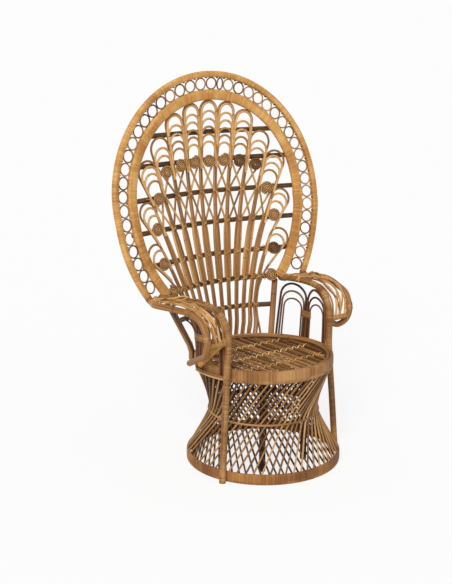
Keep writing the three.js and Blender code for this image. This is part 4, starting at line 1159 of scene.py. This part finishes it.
# %% Lashings on the rails
TIE_PATH = ((-0.85, -0.45, 1.0), (-0.9, -0.8, 0.5), (-0.35, -0.35, 0.0),
            (0.35, 0.35, 0.0), (0.9, 0.8, 0.5), (0.85, 0.45, 1.0))
TIE_STRIP, TIE_THICK, TIE_TALL, TIE_RISE, TIE_BACK = 0.0034, 0.0018, 0.0115, 0.0078, 0.016
THIN_TIE, THICK_TIE, THICK_FROM, THICK_TO = 0.0125, 0.0165, 0.6, 0.9
OUTER_STEMS_BEND, STEM_MARGIN, RAIL_MARGIN = (0.7, 0.8), 0.05, 0.01
COIL_ROW = RAIL_HEIGHTS[5]


def cross_tie(canes, middle, right, up, front, wide):
    """Two flat strips crossed over a joint, with their ends tucked behind it."""
    for slant in (1, -1):
        run = []
        for across, upward, sunk in TIE_PATH:
            level = middle + right * (across * wide) + up * (slant * upward * TIE_TALL)
            run.append(level + front * (TIE_RISE - (TIE_RISE + TIE_BACK) * sunk))
        canes.lay(run, TIE_STRIP, TIE_THICK, facing=front, sides=6)


def stem_top(number):
    """How high the canes of a stem go before they bend over."""
    inside = lobes[number].feet[1]
    return max(inside, lobes[number + 1].feet[0]) if number < STEM_COUNT - 1 else inside


ties = Canes()
for row, height in enumerate(RAIL_HEIGHTS, 1):
    if height == COIL_ROW:
        continue
    wide = THICK_TIE if THICK_FROM < height < THICK_TO else THIN_TIE
    straight = STEM_COUNT - 1 - sum(height > level for level in OUTER_STEMS_BEND)
    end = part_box(f"rail_{row}")[1].x - RAIL_MARGIN
    for place in range(2 * STEM_COUNT):
        number, x = stem_number(place), stem_line(place, height)
        if number > straight or stem_top(number) < height + STEM_MARGIN or abs(x) > end:
            continue
        middle, front = on_fan(x, height), fan_front(x, height)
        up = (on_fan(stem_line(place, height + 0.01), height + 0.01) - middle).normalized()
        cross_tie(ties, middle, up.cross(front) * -1, up, front, wide)
ties.piece("rail_lashings", TIE, "cane_rattan")

# %% [markdown]
# Each arm starts as a front leg that passes both rings, bends back at elbow height and becomes the
# inner pole of the arm. An outer pole leaves the end of the outer rim and scrolls under at the
# front. The two legs stand at slightly different turns of the ring, so the runs of each side are
# worked out from its own leg. All of it is drawn on the right and turned over for the left.

# %% Runs of the arms
LEG, OUTER_POLE, POST, FIT = 0.025, 0.024, 0.024, 0.0003
ARM_HEIGHT, BEND_RUN, BEND_RISE = 0.630, 0.095, 0.108
POLE_HEIGHT, POLE_BULGE = 0.628, 0.018
SCROLL_REACH, SCROLL_FRONT, SCROLL_MIDDLE, SCROLL_LOW = 0.097, 0.007, 0.537, 0.475
SCROLL_DROP, BAR_HEIGHT = POLE_HEIGHT - SCROLL_MIDDLE, 0.515
REAR_HEIGHT, REAR_BACK, REAR_DROP, OUTER_START = 0.648, 0.246, 0.013, 0.640
LEG_TILT = (SEAT_RADIUS - BASE_RADIUS) / (SEAT_HEIGHT - BASE_BAND)
rear_x = rim(turn_at(REAR_HEIGHT, INNER_INSET), INNER_INSET)[0]
arm_rear = Vector((rear_x, REAR_BACK, ARM_HEIGHT - REAR_DROP))
outer_turn = turn_at(OUTER_START, OUTER_RIM / 2)
outer_end = on_fan(*rim(outer_turn, OUTER_RIM / 2), RIM_FORWARD)
outer_next = on_fan(*rim(outer_turn + 5, OUTER_RIM / 2), RIM_FORWARD)
outer_way = (outer_end - outer_next).normalized()


class Arm:
    """One side of the chair, drawn on the right."""

    def __init__(self, word, leg_turn, flare):
        self.word = word
        self.side = 1 if word == "right" else -1
        self.leg_turn, self.flare = leg_turn, flare
        low = self.bend_low = self.leg_at(ARM_HEIGHT - BEND_RISE)
        self.scroll = Vector((low.x + SCROLL_REACH, low.y - SCROLL_FRONT, SCROLL_MIDDLE))
        line = [self.leg_at(z) for z in (0.0, BASE_BAND, WAIST_HEIGHT, SEAT_HEIGHT)] + [low]
        for turn in (30, 60, 90):
            c, s = math.cos(math.radians(turn)), math.sin(math.radians(turn))
            line.append(self.inner(low.y + BEND_RUN * (1 - c), low.z + BEND_RISE * s))
        line.append(self.inner((low.y + BEND_RUN + arm_rear.y) / 2, ARM_HEIGHT))
        line.append(arm_rear)
        self.leg_run = bent(line, 0.004)
        self.bar_inner = self.leg_at(BAR_HEIGHT)
        self.bar_outer = Vector((self.scroll.x - OUTER_POLE / 6, self.outer_y(0.98), BAR_HEIGHT))

    def leg_at(self, z):
        above = max(0.0, (z - SEAT_HEIGHT) / (ARM_HEIGHT - BEND_RISE - SEAT_HEIGHT))
        straight = BASE_RADIUS + FIT + LEG / 2 + LEG_TILT * (z - BASE_BAND)
        return ring_point(straight + self.flare * above, self.leg_turn, z)

    def inner(self, y, z):
        """A point in the upright plane of the inner pole."""
        share = (y - self.bend_low.y) / (arm_rear.y - self.bend_low.y)
        return Vector((self.bend_low.x + (arm_rear.x - self.bend_low.x) * share, y, z))

    def outer_y(self, share):
        return outer_end.y + (self.scroll.y - outer_end.y) * share

    def outer_x(self, share):
        return outer_end.x + (self.scroll.x - outer_end.x) * share

    def between(self, along, z, share):
        """A point part of the way from the inner pole to the outer one."""
        start = self.inner(self.outer_y(along), z)
        end = Vector((self.outer_x(along) + POLE_BULGE / 2, start.y, z))
        return start.lerp(end, share)

    def turned(self, points):
        return [Vector((self.side * point.x, point.y, point.z)) for point in points]


arms = (Arm("right", 75, 0.008), Arm("left", 67, 0.001))
print("arms bend at", [[round(number, 3) for number in arm.bend_low] for arm in arms])

# %% [markdown]
# Split strips cover the pole from the floor to the end of its bend. Behind that it is bare, with a
# lashing and a binding where it meets the foot of the inner rim.

# %% Legs with the inner arm poles
BEND_STARTS, WRAPPED_ON, CUFF_ON, REAR_STUB = 0.470, 0.225, 0.150, 0.012
STRIP, FINE_STRIP = 0.0044, 0.0037
ELBOW_CUFF, REAR_CUFF, REAR_CUFF_FROM = 0.034, 0.030, 0.036


def cuff(canes, run, start, length, wide, strip=STRIP):
    """Strips wound round a short length of a run."""
    canes.wrap(pick(run, spaced(start, start + length, 12)), wide, sides=14, strip=strip)


for arm in arms:
    way = (arm_rear - arm.inner(arm_rear.y - 0.1, ARM_HEIGHT)).normalized()
    run = arm.turned([*arm.leg_run, arm_rear + way * REAR_STUB])
    facing = outward(Vector((arm.side * arm.bend_low.x, arm.bend_low.y, 0)))
    pole = Canes()
    pole.lay(run, LEG * 0.95, facing=facing, sides=14, rounded=True)
    pole.piece(f"leg_and_arm_{arm.word}_pole", POLE, "pole_rattan", f"leg_and_arm_{arm.word}")
    total = lengths_along(run)
    low = next(length for length, point in zip(total, run) if point.z > BEND_STARTS)
    binding = Canes()
    binding.wrap(pick(run, spaced(0.0, low + WRAPPED_ON, 200)), LEG, facing=facing, sides=14)
    cuff(binding, run, low + CUFF_ON, ELBOW_CUFF, LEG * 1.16, FINE_STRIP)
    cuff(binding, run, total[-1] - REAR_CUFF_FROM, REAR_CUFF, LEG * 1.1)
    binding.piece(f"arm_binding_{arm.word}", BAND, "cane_rattan")

# %% [markdown]
# A golden post stands behind each arm, from the apron ring to the rear end of the arm's inner pole.

# %% Back posts
POST_TURN, POST_BACK, POST_DROP = 135, 0.0155, 0.008
post_x = arm_rear.x - (LEG + POST) / 2 - FIT
post_y = fan_back(post_x, arm_rear.z) + POST_BACK
post_head = Vector((post_x, post_y, arm_rear.z - POST_DROP))


def post_foot(z):
    return ring_point(SEAT_RADIUS + FIT + POST / 2, POST_TURN, z)


def post_at(z):
    return post_foot(SEAT_HEIGHT).lerp(post_head, part_of(z, SEAT_HEIGHT, post_head.z))


for arm in arms:
    post = Canes()
    run = [post_foot(SEAT_HEIGHT - FOOT_LAP), post_foot(SEAT_HEIGHT), post_head]
    post.lay(even(arm.turned(run), 0.03), POST, sides=14, rounded=True)
    post.piece(f"back_post_{arm.word}_pole", POLE, "cane_rattan", f"back_post_{arm.word}")

# %% [markdown]
# The outer pole swings out over the arm and scrolls under at the front. On the right it curls back
# to the leg, and on the left its tail runs on along the seat ring to a rounded end. A stub of the
# pole shows behind the rims, where it was nailed to the end of the inner pole.

# %% Outer arm poles
TAIL_RADIUS = SEAT_RADIUS + FIT + 0.008 + 0.004 + OUTER_POLE / 2
TAIL_BEND = 0.4396
CUFF_WIDE, CUFF_LONG, FRONT_CUFF = OUTER_POLE * 1.1, 0.022, 0.026
ARM_CUFFS = {"right": 0.073, "left": 0.245}


def scroll_line(arm):
    """The chosen points of an outer pole, from the end of the rim to the end of its scroll."""
    x, y = arm.scroll.x, arm.outer_y
    line = [
        outer_end + outer_way * OUTER_POLE / 2,
        Vector((outer_end.x, y(0.12), POLE_HEIGHT - OUTER_POLE / 3)),
        Vector((outer_end.x + POLE_BULGE, y(0.3), POLE_HEIGHT)),
        Vector((arm.outer_x(0.45) + POLE_BULGE, y(0.5), POLE_HEIGHT)),
        Vector((arm.outer_x(0.7), y(0.75), POLE_HEIGHT - SCROLL_DROP / 12)),
        Vector((arm.outer_x(0.84), y(0.92), POLE_HEIGHT - SCROLL_DROP / 3)),
        arm.scroll,
        Vector((x - OUTER_POLE / 4, y(0.95), SCROLL_MIDDLE + (SCROLL_LOW - SCROLL_MIDDLE) * 0.65)),
        Vector((x - OUTER_POLE, y(0.87), SCROLL_LOW)),
    ]
    if arm.word == "right":
        line.append(Vector((x - 1.9 * OUTER_POLE, y(0.85), SCROLL_LOW + OUTER_POLE / 3)))
        line.append(Vector((x - 2.6 * OUTER_POLE, y(0.88), SCROLL_LOW + OUTER_POLE)))
    else:
        line.append(ring_point(TAIL_RADIUS + OUTER_POLE / 3, 90, TAIL_BEND))
        line.append(ring_point(TAIL_RADIUS, 101, SEAT_HEIGHT))
        line.append(ring_point(TAIL_RADIUS, 112, SEAT_HEIGHT - OUTER_POLE))
    return line


for arm in arms:
    line = scroll_line(arm)
    run = arm.turned([outer_end + outer_way * 0.0007, *bent(line, 0.008)])
    stub = [
        line[2].lerp(line[1], 0.4),
        Vector((outer_end.x - 0.003, arm.outer_y(0.08), POLE_HEIGHT - 0.008)),
        Vector((outer_end.x - 0.030, outer_end.y + 0.004, POLE_HEIGHT - 0.010)),
        Vector((arm_rear.x + 0.026, arm_rear.y + 0.004, POLE_HEIGHT - 0.011)),
    ]
    pole = Canes()
    pole.lay(run, OUTER_POLE * 0.97, facing=Vector((arm.side, 0, 0)), sides=14, rounded=True)
    pole.lay(arm.turned(bent(stub, 0.008)), OUTER_POLE * 0.9, sides=14, rounded=True)
    node = f"outer_arm_pole_{arm.word}"
    pole.piece(node + "_pole", POLE, "pole_rattan", node)
    front = lengths_along(run)[min(range(len(run)), key=lambda place: run[place].y)]
    binding = Canes()
    cuff(binding, run, front - FRONT_CUFF, FRONT_CUFF, CUFF_WIDE)
    cuff(binding, run, 0.004, CUFF_LONG, CUFF_WIDE)
    cuff(binding, run, ARM_CUFFS[arm.word], CUFF_LONG, OUTER_POLE * 1.12, FINE_STRIP)
    binding.piece(f"outer_pole_binding_{arm.word}", BAND, "cane_rattan")

# %% [markdown]
# Between the two poles of an arm lie thinner bent canes. They leave the rear of the arm together,
# cross over and under one another and come down onto a short wrapped crossbar between leg and
# scroll. Each is given its place at the rear, in the middle and at the crossbar.

# %% Arm canes
ARM_CANE, CROSSBAR, OVER_CANE = 0.0085, 0.020, 0.0060
OVER_POLES = ((-0.16, 0.0), (-0.02, 0.0150), (0.5, 0.0120), (0.98, 0.0135), (1.12, 0.0))
ARM_RUNS = (
    (0.16, 0.10, 0.14, 0.22, 0.002),
    (0.22, 0.40, 0.58, 0.32, 0.007),
    (0.42, 0.40, 0.40, 0.38, 0.001),
    (0.62, 0.36, 0.20, 0.62, 0.010),
    (0.66, 0.62, 0.60, 0.54, 0.002),
    (0.80, 0.84, 0.78, 0.84, 0.006),
    (0.36, 0.64, 0.84, 0.56, 0.009),
)
CROSSINGS = ((0.10, 0.33), (0.36, 0.12), (0.30, 0.50), (0.55, 0.36))
ARM_TOP = ARM_HEIGHT + ARM_CANE / 2
for arm in arms:
    work = Canes()
    for number, (rear, middle, front, end, lift) in enumerate(ARM_RUNS):
        run = [
            arm.between(0.08, ARM_HEIGHT - 0.003, rear),
            arm.between(0.36, ARM_TOP + lift / 2, (rear + middle) / 2),
            arm.between(0.6, ARM_TOP + lift, middle),
            arm.between(0.82, ARM_TOP - SCROLL_DROP / 5 + lift, front),
            arm.between(0.94, ARM_TOP - SCROLL_DROP / 1.75 + lift / 2, (front + end) / 2),
            arm.bar_inner.lerp(arm.bar_outer, end),
        ]
        size = ARM_CANE * (0.82 + 0.09 * (number % 3))
        work.lay(arm.turned(bent(run, 0.012)), size, sides=8, rounded=True)
    work.piece(f"arm_canes_{arm.word}_cane", CANE, "cane_rattan", f"arm_canes_{arm.word}")
    over = Canes()
    for start, stop in CROSSINGS:
        places = zip(spaced(start, stop, len(OVER_POLES) - 1), OVER_POLES)
        run = [arm.between(along, ARM_HEIGHT + lift, across) for along, (across, lift) in places]
        over.lay(arm.turned(bent(run, 0.008)), OVER_CANE, sides=8, rounded=True)
    over.piece(f"arm_crossings_{arm.word}", CANE, "cane_rattan")
    bar = Canes()
    ends = [arm.bar_inner.lerp(arm.bar_outer, share) for share in (0.06, 0.94)]
    bar.wrap(arm.turned(ends), CROSSBAR, facing=UP, sides=12)
    bar.piece(f"arm_crossbar_{arm.word}", BAND, "cane_rattan")

# %% [markdown]
# The left arm also has a wrapped brace that slants from the leg back to the tail of the scroll, and
# two thin canes tacked along the outside of the apron under it.

# %% Brace of the left arm
BRACE, BRACE_TOP, BRACE_X = 0.021, 0.530, 0.2575
BRACE_FOOT = Vector((0.304, -0.010, 0.420))
TACKED, TACKED_RADIUS, TACKED_HEIGHTS = 0.0078, SEAT_RADIUS + 0.0125, (0.3885, 0.3795)
left_arm = arms[1]
brace = Canes()
brace_head = Vector((BRACE_X, left_arm.leg_at(BRACE_TOP).y - 0.004, BRACE_TOP))
brace.wrap(left_arm.turned([brace_head, BRACE_FOOT]), BRACE, facing=UP, sides=12)
# Painted light: the brace takes the paler golden wrapping instead of the deep one, to make up for
# the shadow of the arm on it.
brace.piece("arm_brace_left", WRAP, "cane_rattan")
tacked = Canes()
for height in TACKED_HEIGHTS:
    turns = spaced(left_arm.leg_turn + 3, left_arm.leg_turn + 36, 20)
    run = [ring_point(TACKED_RADIUS, turn, height) for turn in turns]
    tacked.lay(left_arm.turned(run), TACKED, facing=outward, sides=8, rounded=True)
tacked.piece("apron_canes_left", STAKE_CANE, "cane_rattan")

# %% [markdown]
# Under each arm stand two groups of nested dark arches, the highest of the thickest cane. They
# share a bundle of six canes in the middle, held by a wide wrapped band, and all of them stand on
# the apron ring.

# %% Runs of the arm panels
PANEL_CANE, PANEL_FALL = 0.008, 0.028
PANEL_SIZES = (0.0092, 0.0078, 0.0066)
PANEL_PITCH = PANEL_CANE + FIT
PANEL_RADIUS = SEAT_RADIUS + FIT + PANEL_CANE / 2
PANEL_FOOT = SEAT_HEIGHT - FOOT_LAP
CROWN_TOP = ARM_HEIGHT - LEG / 2 - 0.005
BUNDLE_SHARE, SPRING_SHARE = 0.516, 0.9
BAND_HEIGHT, BAND_REACH, BAND_WIDE, BAND_DEEP = 0.505, Vector((0, 0, 0.013)), 0.0535, 0.0125


class Panel:
    """The flat drawing of one panel, by distance back and height, bent onto ring and arm."""

    def __init__(self, arm):
        self.arm = arm
        self.leg_y, self.post_y = arm.leg_at(SEAT_HEIGHT).y, post_foot(SEAT_HEIGHT).y
        self.bundle = self.leg_y + (self.post_y - self.leg_y) * BUNDLE_SHARE
        self.front = self.leg_y + (LEG + PANEL_CANE) / 2 + 2 * PANEL_CANE / 3
        self.rear = self.post_y - (POST + PANEL_CANE) / 2 - 2 * PANEL_CANE / 3

    def pole_y(self, z):
        low = self.arm.bend_low.y
        for point in self.arm.leg_run:
            if point.z >= z and point.y < low + BEND_RUN:
                return point.y
        return low + BEND_RUN / 2

    def point(self, s, z):
        rear = part_of(s, self.bundle, self.post_y)
        front = part_of(s, self.bundle, self.leg_y)
        y = s + rear * (post_at(max(z, SEAT_HEIGHT)).y - self.post_y)
        if z > SEAT_HEIGHT:
            y += front * (self.pole_y(z) - self.leg_y)
        foot = half_chord(PANEL_RADIUS, s)
        share = part_of(z, SEAT_HEIGHT, ARM_HEIGHT)
        return Vector((foot + (self.arm.inner(y, z).x - foot) * share, y, z))

    def arch(self, start, end, top):
        spring = top - abs(end - start) / 2 * SPRING_SHARE
        middle = (SEAT_HEIGHT + spring) / 2
        flat = [(start, PANEL_FOOT), (start, SEAT_HEIGHT), (start, middle)]
        for turn in spaced(0, math.pi, 16):
            s = start + (end - start) * (1 - math.cos(turn)) / 2
            flat.append((s, spring + (top - spring) * math.sin(turn)))
        flat += [(end, middle), (end, SEAT_HEIGHT), (end, PANEL_FOOT)]
        return self.arm.turned([self.point(s, z) for s, z in flat])


panels = [Panel(arm) for arm in arms]
print("bundles at", [round(panel.bundle, 3) for panel in panels])

# %% [markdown]
# Each panel is laid from the bundle outwards, one arch to the rear and one to the front at a time,
# and the bundle then gets its wrapped band.

# %% Arm panels
for panel in panels:
    word, side = panel.arm.word, panel.arm.side
    bows = Canes()
    for number, size in enumerate(PANEL_SIZES):
        shift, step = PANEL_PITCH * (number + 0.5), PANEL_PITCH * number
        top = CROWN_TOP - PANEL_CANE / 2 - PANEL_FALL * number
        for start, end in (
            (panel.bundle + shift, panel.rear - step),
            (panel.bundle - shift, panel.front + step),
        ):
            bows.lay(even(panel.arch(start, end, top), 0.008), size, sides=8)
    bows.piece(f"arm_panel_{word}_cane", ARCH, "brown_rattan", f"arm_panel_{word}")
    middle = panel.arm.turned([panel.point(panel.bundle, BAND_HEIGHT)])[0]
    band = Canes()
    band.wrap([middle - BAND_REACH, middle + BAND_REACH], BAND_WIDE, BAND_DEEP,
              facing=Vector((side, 0, 0)), sides=16, square=0.6)
    band.piece(f"arm_panel_band_{word}", BAND, "brown_rattan")
